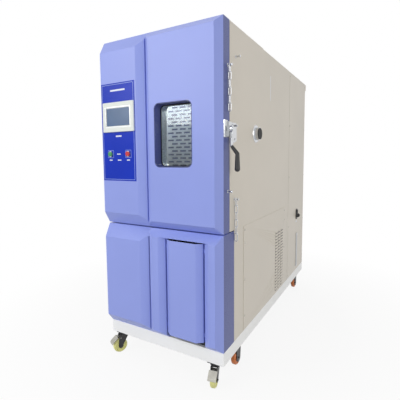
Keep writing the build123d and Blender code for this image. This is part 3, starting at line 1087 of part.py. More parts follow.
def caster_mounts():
    """Swivel races with their kingpins, and the rigid forks, all bolted under the frame."""
    solids = []
    top = BASE_BOTTOM - CASTER_PLATE_T
    race = top - RACE_T
    for x, y, _ in SWIVELS:
        mount = block(x - CASTER_PLATE / 2, x + CASTER_PLATE / 2, y - CASTER_PLATE / 2,
                      y + CASTER_PLATE / 2, top, BASE_BOTTOM)
        mount += rod_z(race, top, x, y, RACE_R)
        mount += rod_z(race - FORK_TOP_T - 1, race, x, y, KING_R)
        mount += rod_z(race - FORK_TOP_T - KING_NUT_T, race - FORK_TOP_T, x, y, KING_NUT_R)
        solids.append(mount)
    for x, y in RIGIDS:
        mount = block(x - CASTER_PLATE / 2, x + CASTER_PLATE / 2, y - CASTER_PLATE / 2,
                      y + CASTER_PLATE / 2, top, BASE_BOTTOM)
        for x0, x1 in fork_sides():
            mount += Pos(x, y, 0) * fork_leg(x0, 0, top, 0, RIGID_LEG)
        outer = fork_sides()[1][1]
        mount += Pos(x, y, 0) * rod_x(-outer - AXLE_END, outer + AXLE_END, 0, WHEEL_R, AXLE_R)
        solids.append(mount)
    return solids


def wheel_places():
    """Name, x, y and turn of every wheel."""
    places = []
    for name, (x, y, turn) in zip(("front_left", "front_right"), SWIVELS):
        places.append((name, x + TRAIL * sin(radians(turn)), y - TRAIL * cos(radians(turn)), turn))
    for name, (x, y) in zip(("mid_left", "mid_right", "rear_left", "rear_right"), RIGIDS):
        places.append((name, x, y, 0.0))
    return places


def save(name, shape):
    """Write one node, moved so that the origin lies under the middle of the whole object."""
    solids = shape if isinstance(shape, list) else [shape]
    moved = [Pos(-ORIGIN_X, -ORIGIN_Y, 0) * solid for solid in solids]
    body = moved[0] if len(moved) == 1 else Compound(children=moved)
    export_step(body, "parts/" + name + ".step")


def build():
    save("base_frame", base_frame())
    save("left_side_panel", left_side_panel())
    save("right_side_panel", right_side_panel())
    save("rear_panel", rear_panel())
    save("rear_column_cover", rear_column_cover())
    save("top_cover", top_cover())
    save("chamber_liner", chamber_liner())
    save("chamber_insulation", chamber_insulation())
    save("air_baffle", air_baffle())
    save("port_flange", port_flange())
    save("port_plug", port_plug())
    save("fan_motors", fan_motors())
    save("circulation_fan", circulation_fan())
    save("condenser_fan", condenser_fan())
    save("evaporator", evaporator())
    save("condenser", condenser())
    save("compressors", compressors())
    save("electrical_box", electrical_box())
    save("side_access_panel", side_access_panel())
    save("lower_front_panel", lower_front_panel())
    save("intake_centre_panel", intake_centre_panel())
    save("intake_mesh", intake_mesh())
    save("water_inlet", water_inlet())
    save("level_gauge", level_gauge())
    save("rear_outlets", rear_outlets())
    save("caster_mounts", caster_mounts())
    save("latch_strike", latch_strike())
    save("hinge_frame_leaves", [leaf_set("frame", z) for z in HINGE_Z])
    save("hinge_door_leaves", [leaf_set("door", z) for z in HINGE_Z])
    save("chain_studs_frame", [stud(y, z) for y, z in FRAME_STUDS])
    save("chain_studs_door", [stud(y, z) for y, z in DOOR_STUDS])
    save("upper_chain", chain(*DOOR_STUDS[0]))
    save("lower_chain", chain(*FRAME_STUDS[1]))
    save("door_front_panel", door_front_panel())
    save("control_console", control_console())
    save("door_insulation", door_insulation())
    save("door_inner_panel", door_inner_panel())
    save("door_gasket", door_gasket())
    save("window_surround", window_surround())
    save("window_panes", window_panes())
    save("control_plate", control_plate())
    save("hmi_bezel", hmi_bezel())
    save("hmi_display", hmi_display())
    save("button_collars", [button_collar(x) for x in (START_X, STOP_X)])
    save("start_button", push_button(START_X))
    save("stop_button", push_button(STOP_X))
    save("latch_housing", latch_housing())
    save("latch_lever", latch_lever())
    save("lever_grip", lever_grip())
    save("wire_shelf", wire_shelf())
    for name, (x, y, turn) in zip(("front_left", "front_right"), SWIVELS):
        save("caster_fork_" + name, swivel_fork(x, y, turn))
        save("brake_pedal_" + name, brake_pedal(x, y, turn))
    for name, x, y, turn in wheel_places():
        save("wheel_" + name, caster_wheel(x, y, turn))


build()
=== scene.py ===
"""Looks of the environmental test chamber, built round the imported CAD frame.

Lengths named in millimetres use the cabinet's own axes: x from its left side panel, y back from
the door's front face, z up from the floor. place() turns them into metres in the row frame.
"""
import json
import math

import bmesh
import bpy
from mathutils import Matrix, Vector


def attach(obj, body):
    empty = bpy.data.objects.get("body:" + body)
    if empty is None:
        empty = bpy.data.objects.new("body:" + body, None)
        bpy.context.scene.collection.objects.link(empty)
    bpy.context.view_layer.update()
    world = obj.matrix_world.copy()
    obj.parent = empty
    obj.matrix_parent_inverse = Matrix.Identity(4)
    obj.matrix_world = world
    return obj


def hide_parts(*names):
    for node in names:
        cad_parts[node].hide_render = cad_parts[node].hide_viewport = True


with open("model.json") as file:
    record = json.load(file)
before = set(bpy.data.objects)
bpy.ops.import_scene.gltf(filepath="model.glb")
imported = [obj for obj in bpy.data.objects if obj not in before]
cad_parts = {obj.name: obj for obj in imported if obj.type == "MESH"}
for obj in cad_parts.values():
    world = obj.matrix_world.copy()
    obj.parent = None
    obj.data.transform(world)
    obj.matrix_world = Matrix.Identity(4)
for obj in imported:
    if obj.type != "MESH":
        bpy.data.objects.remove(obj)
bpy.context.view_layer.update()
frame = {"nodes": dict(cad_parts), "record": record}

# Where the row frame's origin lies on the cabinet's own axes, in millimetres
ORIGIN = Vector((360.75, 791.0, 0.0))
CAB_W = 680.0
MM = 0.001

# Sheet-metal copies: faces flatter than this are joined, and edges sharper than this are rounded
FLAT_DEG, BEND_DEG, SMOOTH_DEG = 0.3, 14, 30
PIECE_SMOOTH_DEG = 35
WELD = 1e-6
SIDEWAYS = 0.95         # a normal with this much x looks to the side


def place(x, y, z):
    """Cabinet millimetres to metres in the row frame."""
    return (Vector((x, y, z)) - ORIGIN) / 1000


# Span that most noise values lie in, and the depth in metres of the finest relief
NOISE_LOW, NOISE_HIGH = 0.3, 0.7
RELIEF_DEPTH = 0.0002
ROUGH_SPREAD = 0.15     # the grain varies the roughness by this share each way
COAT_ROUGH = 0.08
GLASS_TINT = (0.93, 0.96, 0.97, 1.0)
GLASS_IOR = 1.3
GLASS_SMEAR = 0.02
GLOW_DIP = 0.9          # share of a lens's colour where it is dimmest


def linear(rgb):
    """sRGB bytes to linear colour."""
    out = []
    for c in rgb:
        c = c / 255
        out.append(c / 12.92 if c <= 0.04045 else ((c + 0.055) / 1.055) ** 2.4)
    return (*out, 1.0)


def new_material(name):
    """Material with its output and shader, and the object-space coordinates that patterns use."""
    mat = bpy.data.materials.new(name)
    mat.use_nodes = True
    tree = mat.node_tree
    shader = tree.nodes["Principled BSDF"]
    coords = tree.nodes.new("ShaderNodeTexCoord")
    return mat, tree, shader, coords.outputs["Object"]


def noise(tree, vector, scale, detail=3.0, stretch=None):
    """Noise of a given scale, squeezed along the axes that stretch names."""
    if stretch:
        mapping = tree.nodes.new("ShaderNodeMapping")
        mapping.inputs["Scale"].default_value = stretch
        tree.links.new(vector, mapping.inputs["Vector"])
        vector = mapping.outputs["Vector"]
    tex = tree.nodes.new("ShaderNodeTexNoise")
    tex.inputs["Scale"].default_value = scale
    tex.inputs["Detail"].default_value = detail
    tree.links.new(vector, tex.inputs["Vector"])
    return tex.outputs["Fac"]


def spread(tree, value, low, high):
    """Map a noise value to a range."""
    node = tree.nodes.new("ShaderNodeMapRange")
    node.inputs["From Min"].default_value = NOISE_LOW
    node.inputs["From Max"].default_value = NOISE_HIGH
    node.inputs["To Min"].default_value = low
    node.inputs["To Max"].default_value = high
    tree.links.new(value, node.inputs["Value"])
    return node.outputs["Result"]


def mix_colour(tree, factor, a, b):
    """Colour between a and b, which may be fixed colours or sockets."""
    node = tree.nodes.new("ShaderNodeMix")
    node.data_type = "RGBA"
    tree.links.new(factor, node.inputs["Factor"])
    for socket, colour in (("A", a), ("B", b)):
        target = [s for s in node.inputs if s.name == socket and s.type == "RGBA"][0]
        if isinstance(colour, tuple):
            target.default_value = colour
        else:
            tree.links.new(colour, target)
    return [s for s in node.outputs if s.type == "RGBA"][0]


def bump(tree, shader, height, strength):
    """Let a height value tilt the shader's normal."""
    node = tree.nodes.new("ShaderNodeBump")
    node.inputs["Strength"].default_value = strength
    node.inputs["Distance"].default_value = RELIEF_DEPTH
    tree.links.new(height, node.inputs["Height"])
    tree.links.new(node.outputs["Normal"], shader.inputs["Normal"])


def shade(colour, share):
    """The colour made darker or brighter by a share."""
    return (colour[0] * share, colour[1] * share, colour[2] * share, 1.0)


def finish_of(name, rgb, rough, metallic=0.0, vary=0.06, patch=4.0, grain=900.0, relief=0.15,
              stretch=None, coat=0.0, gloss=0.5):
    """Surface whose colour drifts slowly, with its own grain in roughness and relief."""
    mat, tree, shader, coords = new_material(name)
    colour = linear(rgb)
    drift = spread(tree, noise(tree, coords, patch), 0.0, 1.0)
    tree.links.new(mix_colour(tree, drift, shade(colour, 1 - vary), shade(colour, 1 + vary)),
                   shader.inputs["Base Color"])
    fine = noise(tree, coords, grain, 2.0, stretch)
    tree.links.new(spread(tree, fine, rough * (1 - ROUGH_SPREAD), rough * (1 + ROUGH_SPREAD)),
                   shader.inputs["Roughness"])
    shader.inputs["Metallic"].default_value = metallic
    shader.inputs["Coat Weight"].default_value = coat
    shader.inputs["Coat Roughness"].default_value = COAT_ROUGH
    shader.inputs["Specular IOR Level"].default_value = gloss
    bump(tree, shader, fine, relief)
    return mat


def coated(name, rgb, rough=0.36, gloss=0.35):
    """Powder coat: fine orange peel under a soft gloss."""
    return finish_of(name, rgb, rough, vary=0.025, patch=2.5, grain=420.0, relief=0.12, gloss=gloss)


def brushed(name, rgb, rough, stretch=(1.0, 1.0, 60.0)):
    """Metal with a grain drawn out along one direction."""
    return finish_of(name, rgb, rough, metallic=1.0, vary=0.05, patch=6.0, grain=60.0,
                     relief=0.08, stretch=stretch)


def glass():
    """Clear pane with faint smears."""
    mat, tree, shader, coords = new_material("window_glass")
    shader.inputs["Base Color"].default_value = GLASS_TINT
    shader.inputs["Transmission Weight"].default_value = 1.0
    shader.inputs["IOR"].default_value = GLASS_IOR
    smear = noise(tree, coords, 5.0)
    tree.links.new(spread(tree, smear, 0.0, GLASS_SMEAR), shader.inputs["Roughness"])
    return mat


def glow(name, rgb, strength):
    """Lit lens, a little uneven."""
    mat, tree, shader, coords = new_material(name)
    shader.inputs["Base Color"].default_value = linear(rgb)
    drift = spread(tree, noise(tree, coords, 30.0), GLOW_DIP, 1.0)
    tree.links.new(mix_colour(tree, drift, shade(linear(rgb), GLOW_DIP), linear(rgb)),
                   shader.inputs["Emission Color"])
    shader.inputs["Emission Strength"].default_value = strength
    return mat


# Finishes by short name, with colours as sRGB bytes
M = {
    "blue": coated("blue_powder_coat", (147, 161, 230)),
    # Darker blue that the code gives to faces turned to the sides, to the window's reveal and to its rim
    "blue_side": coated("darker_blue", (78, 88, 148), 0.3),
    "cream": coated("warm_grey_powder_coat", (212, 205, 193)),
    "white": coated("white_powder_coat", (248, 249, 249)),
    "stainless": brushed("stainless", (196, 200, 206), 0.28),
    "liner": brushed("chamber_stainless", (214, 217, 222), 0.34, (60.0, 1.0, 1.0)),
    "chrome": finish_of("chrome", (205, 207, 210), rough=0.12, metallic=1.0, vary=0.03, patch=8.0,
                        grain=200.0, relief=0.02),
    "zinc": finish_of("zinc_plate", (178, 176, 168), rough=0.34, metallic=1.0, vary=0.10,
                      patch=30.0, grain=500.0, relief=0.10),
    "dark": finish_of("black_enamel", (40, 40, 43), rough=0.42, vary=0.12, patch=12.0, grain=700.0,
                      relief=0.15),
    "aluminium": brushed("aluminium", (196, 198, 200), 0.38),
    # Blue fins of the evaporator, also used as painted shade on the sheet behind the baffle
    "fins_and_painted_shade": finish_of("blue_fins_and_painted_shade", (44, 58, 104), rough=0.4, metallic=0.4, vary=0.10,
                      patch=20.0, grain=500.0, relief=0.1),
    "tube": finish_of("violet_sight_tube", (70, 52, 128), rough=0.2, vary=0.06, patch=20.0,
                      grain=400.0, relief=0.02, coat=0.5),
    "lamp": glow("chamber_lamp_lens", (250, 246, 232), 1.0),
    "label": finish_of("bare_label", (226, 230, 240), rough=0.4, vary=0.03, patch=30.0, grain=900.0,
                       relief=0.05),
    "dim_label": finish_of("dim_label", (150, 170, 226), rough=0.4, vary=0.04, patch=40.0,
                           grain=900.0, relief=0.05),
    "wool": finish_of("glass_wool", (214, 204, 168), rough=0.95, vary=0.15, patch=40.0, grain=300.0,
                      relief=0.8),
    "gasket": finish_of("gasket_rubber", (26, 27, 32), rough=0.62, vary=0.10, patch=30.0,
                        grain=600.0, relief=0.25),
    # Black rubber, also used as painted shade in the louvres' mouths
    "rubber_and_painted_shade": finish_of("black_rubber", (30, 30, 31), rough=0.7, vary=0.12, patch=20.0, grain=500.0,
                        relief=0.3),
    "plastic": finish_of("black_plastic", (34, 34, 36), rough=0.45, vary=0.08, patch=20.0,
                         grain=900.0, relief=0.25),
    "ivory": finish_of("ivory_plastic", (224, 229, 223), rough=0.45, vary=0.02, patch=10.0,
                       grain=1200.0, relief=0.12),
    "control": finish_of("control_film", (0, 46, 182), rough=0.3, vary=0.05, patch=6.0, grain=800.0,
                         relief=0.06, gloss=0.2),
    "screen": finish_of("display", (88, 111, 144), rough=0.2, vary=0.08, patch=12.0, grain=500.0,
                        relief=0.01, gloss=0.3),
    "green": finish_of("green_plastic", (62, 150, 92), rough=0.25, vary=0.05, patch=30.0,
                       grain=500.0, relief=0.05),
    "red": finish_of("red_plastic", (196, 40, 44), rough=0.25, vary=0.05, patch=30.0, grain=500.0,
                     relief=0.05),
    # Lit and shaded copies of one polyurethane: pale yellow as painted light, orange as painted shade
    "yellow": finish_of("polyurethane_painted_light", (224, 222, 146), rough=0.4, vary=0.08, patch=25.0,
                        grain=400.0, relief=0.12),
    "orange": finish_of("polyurethane_painted_shade", (214, 122, 66), rough=0.4, vary=0.08, patch=25.0,
                        grain=400.0, relief=0.12),
    "glass": glass(),
}

# Finish of each CAD node
NODE_FINISH = {
    "base_frame": "white", "left_side_panel": "cream", "right_side_panel": "cream",
    "rear_panel": "cream", "rear_column_cover": "cream", "top_cover": "cream",
    "chamber_liner": "liner", "chamber_insulation": "wool", "air_baffle": "liner",
    "wire_shelf": "stainless", "port_flange": "chrome", "fan_motors": "dark",
    "evaporator": "fins_and_painted_shade", "condenser": "aluminium", "compressors": "dark",
    "electrical_box": "zinc", "side_access_panel": "cream", "lower_front_panel": "blue",
    "intake_centre_panel": "blue", "intake_mesh": "dark", "water_inlet": "plastic",
    "level_gauge": "aluminium", "rear_outlets": "plastic", "caster_mounts": "dark",
    "latch_strike": "chrome", "hinge_frame_leaves": "chrome", "chain_studs_frame": "chrome",
    "door_front_panel": "blue", "control_console": "blue", "door_insulation": "wool",
    "door_inner_panel": "stainless", "door_gasket": "gasket", "window_surround": "stainless",
    "window_panes": "glass", "control_plate": "control", "hmi_bezel": "ivory",
    "hmi_display": "screen", "button_collars": "chrome", "latch_housing": "chrome",
    "hinge_door_leaves": "chrome", "chain_studs_door": "chrome", "latch_lever": "chrome",
    "lever_grip": "plastic", "start_button": "green", "stop_button": "red",
    "upper_chain": "chrome", "lower_chain": "chrome", "port_plug": "rubber_and_painted_shade",
    "circulation_fan": "aluminium", "condenser_fan": "plastic",
    "caster_fork_front_left": "dark", "caster_fork_front_right": "dark",
    "brake_pedal_front_left": "zinc", "brake_pedal_front_right": "zinc",
    # Front wheels take the painted-light copy of the polyurethane, the others its painted-shade copy
    "wheel_front_left": "yellow", "wheel_front_right": "yellow",
    "wheel_mid_left": "orange", "wheel_mid_right": "orange",
    "wheel_rear_left": "orange", "wheel_rear_right": "orange",
}

for node, finish in NODE_FINISH.items():
    for material_slot in frame["nodes"][node].material_slots:
        material_slot.material = M[finish]

RECORD = frame["record"]
BODY_OF = {node: body for body, nodes in RECORD["behaviour"]["bodies"].items() for node in nodes}


# Mesh helpers, in cabinet millimetres
def smooth_by_angle(mesh, degrees):
    """Smooth faces, with edges sharper than an angle kept."""
    for face in mesh.polygons:
        face.use_smooth = True
    mesh.set_sharp_from_angle(angle=math.radians(degrees))


def rounding(obj, width, segments=2, by_weight=False):
    """Soften edges by a width in millimetres, by angle or by the weights they carry."""
    mod = obj.modifiers.new("rounding", "BEVEL")
    mod.width = width * MM
    mod.segments = segments
    mod.limit_method = "WEIGHT" if by_weight else "ANGLE"
    mod.angle_limit = math.radians(SMOOTH_DEG)
    mod.harden_normals = True


def dressed(node, bend=2.5, rim=0.5, thin=5.0):
    """Copy of a CAD sheet-metal node with flat faces, rounded bends and softened rims.

    Edges beside a face narrower than thin get the rim's width, all others the bend's.
    """
    source = frame["nodes"][node]
    mesh = source.data.copy()
    obj = bpy.data.objects.new(node + "_skin", mesh)
    bpy.context.scene.collection.objects.link(obj)
    bm = bmesh.new()
    bm.from_mesh(mesh)
    bmesh.ops.remove_doubles(bm, verts=bm.verts, dist=WELD)
    bmesh.ops.dissolve_limit(bm, angle_limit=math.radians(FLAT_DEG), verts=bm.verts, edges=bm.edges)
    bm.normal_update()
    weight = bm.edges.layers.float.new("bevel_weight_edge")
    for edge in bm.edges:
        if len(edge.link_faces) != 2 or not edge.is_convex:
            continue
        if edge.calc_face_angle() < math.radians(BEND_DEG):
            continue
        widths = [2 * f.calc_area() / f.calc_perimeter() / MM for f in edge.link_faces]
        edge[weight] = 1.0 if min(widths) > thin else rim / bend
    bm.to_mesh(mesh)
    bm.free()
    smooth_by_angle(mesh, SMOOTH_DEG)
    rounding(obj, bend, 3, by_weight=True)
    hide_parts(node)
    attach(obj, BODY_OF[node])
    return obj


def second_finish(obj, finish, chosen):
    """Give another finish to the faces that a test on centre and normal picks."""
    obj.data.materials.append(M[finish])
    index = len(obj.data.materials) - 1
    for face in obj.data.polygons:
        centre = face.center / MM + ORIGIN
        if chosen(centre, face.normal):
            face.material_index = index


def is_door_side(centre, normal):
    """Faces on the cabinet's left and right sides."""
    return abs(normal.x) > SIDEWAYS and (centre.x > CAB_W - 1 or centre.x < 1)


def new_piece(name, bm, body, finish, soften=0.0):
    """Mesh piece on a CAD body, with edges softened by a width in millimetres."""
    bmesh.ops.recalc_face_normals(bm, faces=bm.faces)
    mesh = bpy.data.meshes.new(name)
    bm.to_mesh(mesh)
    bm.free()
    obj = bpy.data.objects.new(name, mesh)
    bpy.context.scene.collection.objects.link(obj)
    mesh.materials.append(M[finish])
    smooth_by_angle(mesh, PIECE_SMOOTH_DEG)
    if soften:
        rounding(obj, soften)
    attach(obj, body)


def spot_on(axis, u, v, w):
    """Point from two directions across an axis and one along it."""
    if axis == "x":
        return place(w, u, v)
    if axis == "y":
        return place(u, w, v)
    return place(u, v, w)


def prism(bm, axis, points, low, high):
    """Outline of (u, v) points drawn out along an axis, as a closed block."""
    rings = [[bm.verts.new(spot_on(axis, u, v, w)) for u, v in points] for w in (low, high)]
    count = len(points)
    bm.faces.new(rings[0])
    bm.faces.new(rings[1])
    for i in range(count):
        j = (i + 1) % count
        bm.faces.new((rings[0][i], rings[0][j], rings[1][j], rings[1][i]))


def oblong(u0, u1, v0, v1, r=0.0, steps=5):
    """Rectangle with rounded corners, as points."""
    if not r:
        return [(u0, v0), (u1, v0), (u1, v1), (u0, v1)]
    points = []
    corners = ((u1 - r, v0 + r, -90), (u1 - r, v1 - r, 0), (u0 + r, v1 - r, 90), (u0 + r, v0 + r, 180))
    for cu, cv, start in corners:
        for i in range(steps + 1):
            angle = math.radians(start + 90 * i / steps)
            points.append((cu + r * math.cos(angle), cv + r * math.sin(angle)))
    return points


def frame_ring(bm, axis, outer, inner, low, high):
    """Frame between two outlines that have the same number of points, drawn out along an axis."""
    count = len(outer)
    loops = []
    for w in (low, high):
        for outline in (outer, inner):
            loops.append([bm.verts.new(spot_on(axis, u, v, w)) for u, v in outline])
    low_out, low_in, high_out, high_in = loops
    for i in range(count):
        j = (i + 1) % count
        bm.faces.new((low_out[i], low_out[j], low_in[j], low_in[i]))
        bm.faces.new((high_out[i], high_out[j], high_in[j], high_in[i]))
        bm.faces.new((low_out[i], low_out[j], high_out[j], high_out[i]))
        bm.faces.new((low_in[i], low_in[j], high_in[j], high_in[i]))


def lathe(bm, axis, u, v, profile, steps):
    """Turned form about an axis through (u, v); the profile holds (radius, place along the axis)."""
    rings = []
    for radius, w in profile:
        ring = []
        for i in range(steps):
            angle = 2 * math.pi * i / steps
            across, up = radius * math.cos(angle), radius * math.sin(angle)
            ring.append(bm.verts.new(spot_on(axis, u + across, v + up, w)))
        rings.append(ring)
    for a, b in zip(rings, rings[1:]):
        for i in range(steps):
            j = (i + 1) % steps
            bm.faces.new((a[i], a[j], b[j], b[i]))


# Screw head as shares of its radius: (radius, height) from the dished middle out to the seat,
# and the half length, half width and height of the cross in the dish
SCREW_PROFILE = ((0.28, 0.16), (0.55, 0.58), (0.82, 0.44), (1.0, 0.2), (1.0, 0.0))
SCREW_STEPS = 16
CROSS_LONG, CROSS_THIN, CROSS_HIGH = 0.5, 0.09, 0.2


def screw_head(bm, axis, u, v, seat, r, out):
    """Pan head with a dished middle that holds a cross; out is the way it faces along the axis."""
    profile = [(wide * r, seat + out * high * r) for wide, high in SCREW_PROFILE]
    lathe(bm, axis, u, v, profile, SCREW_STEPS)
    for across, up in ((CROSS_LONG * r, CROSS_THIN * r), (CROSS_THIN * r, CROSS_LONG * r)):
        cross = oblong(u - across, u + across, v - up, v + up)
        prism(bm, axis, cross, seat, seat + out * CROSS_HIGH * r)


def flat_pieces(name, axis, outlines, depths, body, finish, soften):
    """Outlines drawn out between two depths along an axis, as one piece."""
    bm = bmesh.new()
    for outline in outlines:
        prism(bm, axis, outline, *depths)
    new_piece(name, bm, body, finish, soften)


def flat_frame(name, axis, outlines, depths, body, finish, soften=0.0):
    """Frame between an outer and an inner outline, drawn out between two depths."""
    bm = bmesh.new()
    frame_ring(bm, axis, *outlines, *depths)
    new_piece(name, bm, body, finish, soften)


def screws(name, axis, spots, body, out=1.0):
    """Zinc screws as one piece; each spot holds u, v, the seat and the head's radius."""
    bm = bmesh.new()
    for u, v, seat, r in spots:
        screw_head(bm, axis, u, v, seat, r, out)
    new_piece(name, bm, body, "zinc")


# Dressed copies: large panels, thin covers, and small pressed or cast pieces
for node in ("control_console", "door_front_panel", "lower_front_panel"):
    second_finish(dressed(node), "blue_side", is_door_side)
for node in ("intake_centre_panel", "left_side_panel", "right_side_panel", "rear_column_cover",
             "rear_panel", "top_cover", "base_frame"):
    dressed(node)
for node in ("side_access_panel", "level_gauge", "electrical_box", "water_inlet"):
    dressed(node, 1.0, 0.4)
for node in ("hmi_bezel", "latch_housing", "latch_strike", "hinge_door_leaves", "hinge_frame_leaves",
             "brake_pedal_front_left", "brake_pedal_front_right", "door_gasket"):
    dressed(node, 0.8, 0.4)


# Window: painted reveal, bead round the outer pane, rim on the door's face
WIN_LEFT, WIN_RIGHT, WIN_LOW, WIN_HIGH = 343.0, 548.0, 1017.0, 1312.0
WIN_R = 27.0
WIN_STEPS = 8


def window_outline(inset):
    """Outline inside the window's edge by an inset."""
    return oblong(WIN_LEFT + inset, WIN_RIGHT - inset, WIN_LOW + inset, WIN_HIGH - inset,
                  WIN_R - inset, WIN_STEPS)


def window_frame(name, insets, depths, finish, soften=0.0):
    """Frame between two insets from the window's edge and two depths behind the door's face."""
    outlines = [window_outline(inset) for inset in insets]
    flat_frame(name, "y", outlines, depths, "door", finish, soften)


window_frame("window_reveal", (3.05, 3.7), (1.3, 47.6), "blue_side")
window_frame("window_bead", (3.8, 9.0), (44.5, 47.9), "gasket", 0.5)
window_frame("window_rim", (0.2, 3.0), (-0.6, 0.9), "blue_side", 0.4)

# Chamber lamp on the ceiling, in x and y
LENS_X, LENS_Y, LENS_R = (240, 440), (190, 236), 12
LENS_Z = (1498, 1506)
LAMP_RIM = 8            # from the lens to the frame's outer edge
LAMP_R = 16
LAMP_LIP = 1            # the frame covers the lens by this
LAMP_FRAME_Z = (1500, 1507.5)

lens = oblong(*LENS_X, *LENS_Y, LENS_R)
flat_pieces("chamber_lamp_lens", "z", [lens], LENS_Z, "cabinet", "lamp", 2.0)
lamp_frame = (
    oblong(LENS_X[0] - LAMP_RIM, LENS_X[1] + LAMP_RIM, LENS_Y[0] - LAMP_RIM, LENS_Y[1] + LAMP_RIM, LAMP_R),
    oblong(LENS_X[0] + LAMP_LIP, LENS_X[1] - LAMP_LIP, LENS_Y[0] + LAMP_LIP, LENS_Y[1] - LAMP_LIP,
           LENS_R - LAMP_LIP))
flat_frame("chamber_lamp_frame", "z", lamp_frame, LAMP_FRAME_Z, "cabinet", "stainless", 0.6)

# Control plate, in x and z: border line, bare label strips, fields round the buttons
PRINT_Y = (-1.75, -1.45)        # what is printed on the plate, as a thin layer in its face
STRIP_Y = (-1.7, -1.45)
STRIP_R, STRIP_STEPS = 1.5, 3
BORDER = (19, 223, 955, 1426)
BORDER_LINE, BORDER_R = 2, 4
TITLE = (74, 170, 1392, 1400)
SCREEN_LABEL = (104, 142, 1168, 1175)
BUTTON_LABELS = ((109, 133, 1080, 1085), (57, 77, 1050, 1055), (113, 137, 1050, 1055), (173, 193, 1050, 1055))
BUTTONS_X, BUTTONS_Z = (67.0, 183.0), 1083
FIELD_HALF, FIELD_LINE, FIELD_R = 19, 1.6, 3
HMI_RIM = (45.5, 207.5, 1214.5, 1315.5)
HMI_SIGHT = (50, 203, 1219, 1311)
HMI_RIM_Y = (-9.7, -7.0)


def shrunk(box, by):
    """Box of (u0, u1, v0, v1) made smaller on each side."""
    return box[0] + by, box[1] - by, box[2] + by, box[3] - by


border = (oblong(*BORDER, BORDER_R), oblong(*shrunk(BORDER, BORDER_LINE), BORDER_R - 1))
flat_frame("plate_border", "y", border, PRINT_Y, "door", "dim_label")
strips = [oblong(*box, STRIP_R, STRIP_STEPS) for box in (TITLE, SCREEN_LABEL, *BUTTON_LABELS)]
flat_pieces("plate_labels", "y", strips, STRIP_Y, "door", "label", 0.1)
bm = bmesh.new()
for x in BUTTONS_X:
    field = (x - FIELD_HALF, x + FIELD_HALF, BUTTONS_Z - FIELD_HALF, BUTTONS_Z + FIELD_HALF)
    frame_ring(bm, "y", oblong(*field, FIELD_R), oblong(*shrunk(field, FIELD_LINE), FIELD_R - 1), *PRINT_Y)
new_piece("button_fields", bm, "door", "dim_label")
hmi_rim = (oblong(*HMI_RIM, 2), oblong(*HMI_SIGHT, 1))
flat_frame("hmi_inner_frame", "y", hmi_rim, HMI_RIM_Y, "door", "aluminium", 0.5)

# Right side, in y and z: bare labels, screws, filter behind the louvres, sight tube
SIDE_LABELS = [oblong(670, 676, 1389, 1531, 1.5, 3), oblong(1330, 1358, 558, 570, 2, 3)]
LABEL_X = (CAB_W - 0.1, CAB_W + 0.3)
COVER_FACE = CAB_W + 2.0
COVER_SCREW_R, PANEL_SCREW_R = 5.0, 4.0
COVER_SCREWS = [(y, z, COVER_FACE, COVER_SCREW_R) for y in (281, 992) for z in (254, 444, 634, 700)]
COLUMN_SCREWS = [(y, z, CAB_W, PANEL_SCREW_R) for y in (1110, 1552) for z in (200, 560, 920, 1280, 1620)]
LOUVRE_FILTER = oblong(792, 973, 196, 602, 3, 3)
SIGHT_TUBE = oblong(1347.5, 1356.5, 225, 451, 3, 3)

flat_pieces("side_labels", "x", SIDE_LABELS, LABEL_X, "cabinet", "label", 0.1)
screws("side_screws", "x", COVER_SCREWS + COLUMN_SCREWS, "cabinet")
flat_pieces("louvre_filter", "x", [LOUVRE_FILTER], (674.5, 678.5), "cabinet", "rubber_and_painted_shade", 0.5)
flat_pieces("gauge_backing", "x", [SIGHT_TUBE], (679.8, 681.6), "cabinet", "tube", 0.3)

# Painted shade: dark strips in the louvres' mouths, in y and z, and a dark sheet behind the baffle, in x and
# z
LOUVRE_LOW, LOUVRE_HIGH, LOUVRE_ROWS = 201.0, 594.0, 20
LOUVRE_PITCH = (LOUVRE_HIGH - LOUVRE_LOW) / LOUVRE_ROWS
LOUVRE_START, LOUVRE_STEP, LOUVRE_COLS = 799.0, 58.67, 3
LOUVRE_W = 49.67
MOUTH_BELOW, MOUTH_ABOVE = 5.0, 2.0
BAFFLE_SHADE = oblong(76, 604, 872, 1462, 3, 3)     # stands above the baffle's top edge at z 1385

mouths = []
for row in range(LOUVRE_ROWS):
    for col in range(LOUVRE_COLS):
        y, z = LOUVRE_START + col * LOUVRE_STEP, LOUVRE_LOW + row * LOUVRE_PITCH
        mouths.append(oblong(y, y + LOUVRE_W, z - MOUTH_BELOW, z + MOUTH_ABOVE, 1.0, 3))
# Painted shade: flat dark strips stand for the shade under each louvre's lip
flat_pieces("louvre_painted_shade", "x", mouths, (681.8, 682.4), "cabinet", "rubber_and_painted_shade", 0.1)
# Painted shade: a dark sheet in the fins' colour behind the baffle, so its slots read dark
flat_pieces("baffle_painted_shade", "y", [BAFFLE_SHADE], (475.2, 476.2), "cabinet", "fins_and_painted_shade", 0.2)

# Rear, in x and z: screws round the panel and a filter behind its vents
REAR_FACE = 1563.0
REAR_SCREWS = [(x, z, REAR_FACE, PANEL_SCREW_R) for x in (14, 230, 450, 666) for z in (190, 1595)]
REAR_SCREWS += [(x, z, REAR_FACE, PANEL_SCREW_R) for x in (14, 666) for z in (420, 650, 890, 1120, 1350)]
REAR_VENT = oblong(96, 584, 290, 586, 4, 3)

screws("rear_screws", "y", REAR_SCREWS, "cabinet")
flat_pieces("rear_vent_filter", "y", [REAR_VENT], (1556.0, 1560.0), "cabinet", "rubber_and_painted_shade", 0.5)

# Hinge leaf screws on the left side, in y and z
HINGES_Z, HINGE_STEPS = (830, 1185, 1540), (-32, -11, 11, 32)
HINGE_FACE, HINGE_SCREW_R = -3.0, 3.6

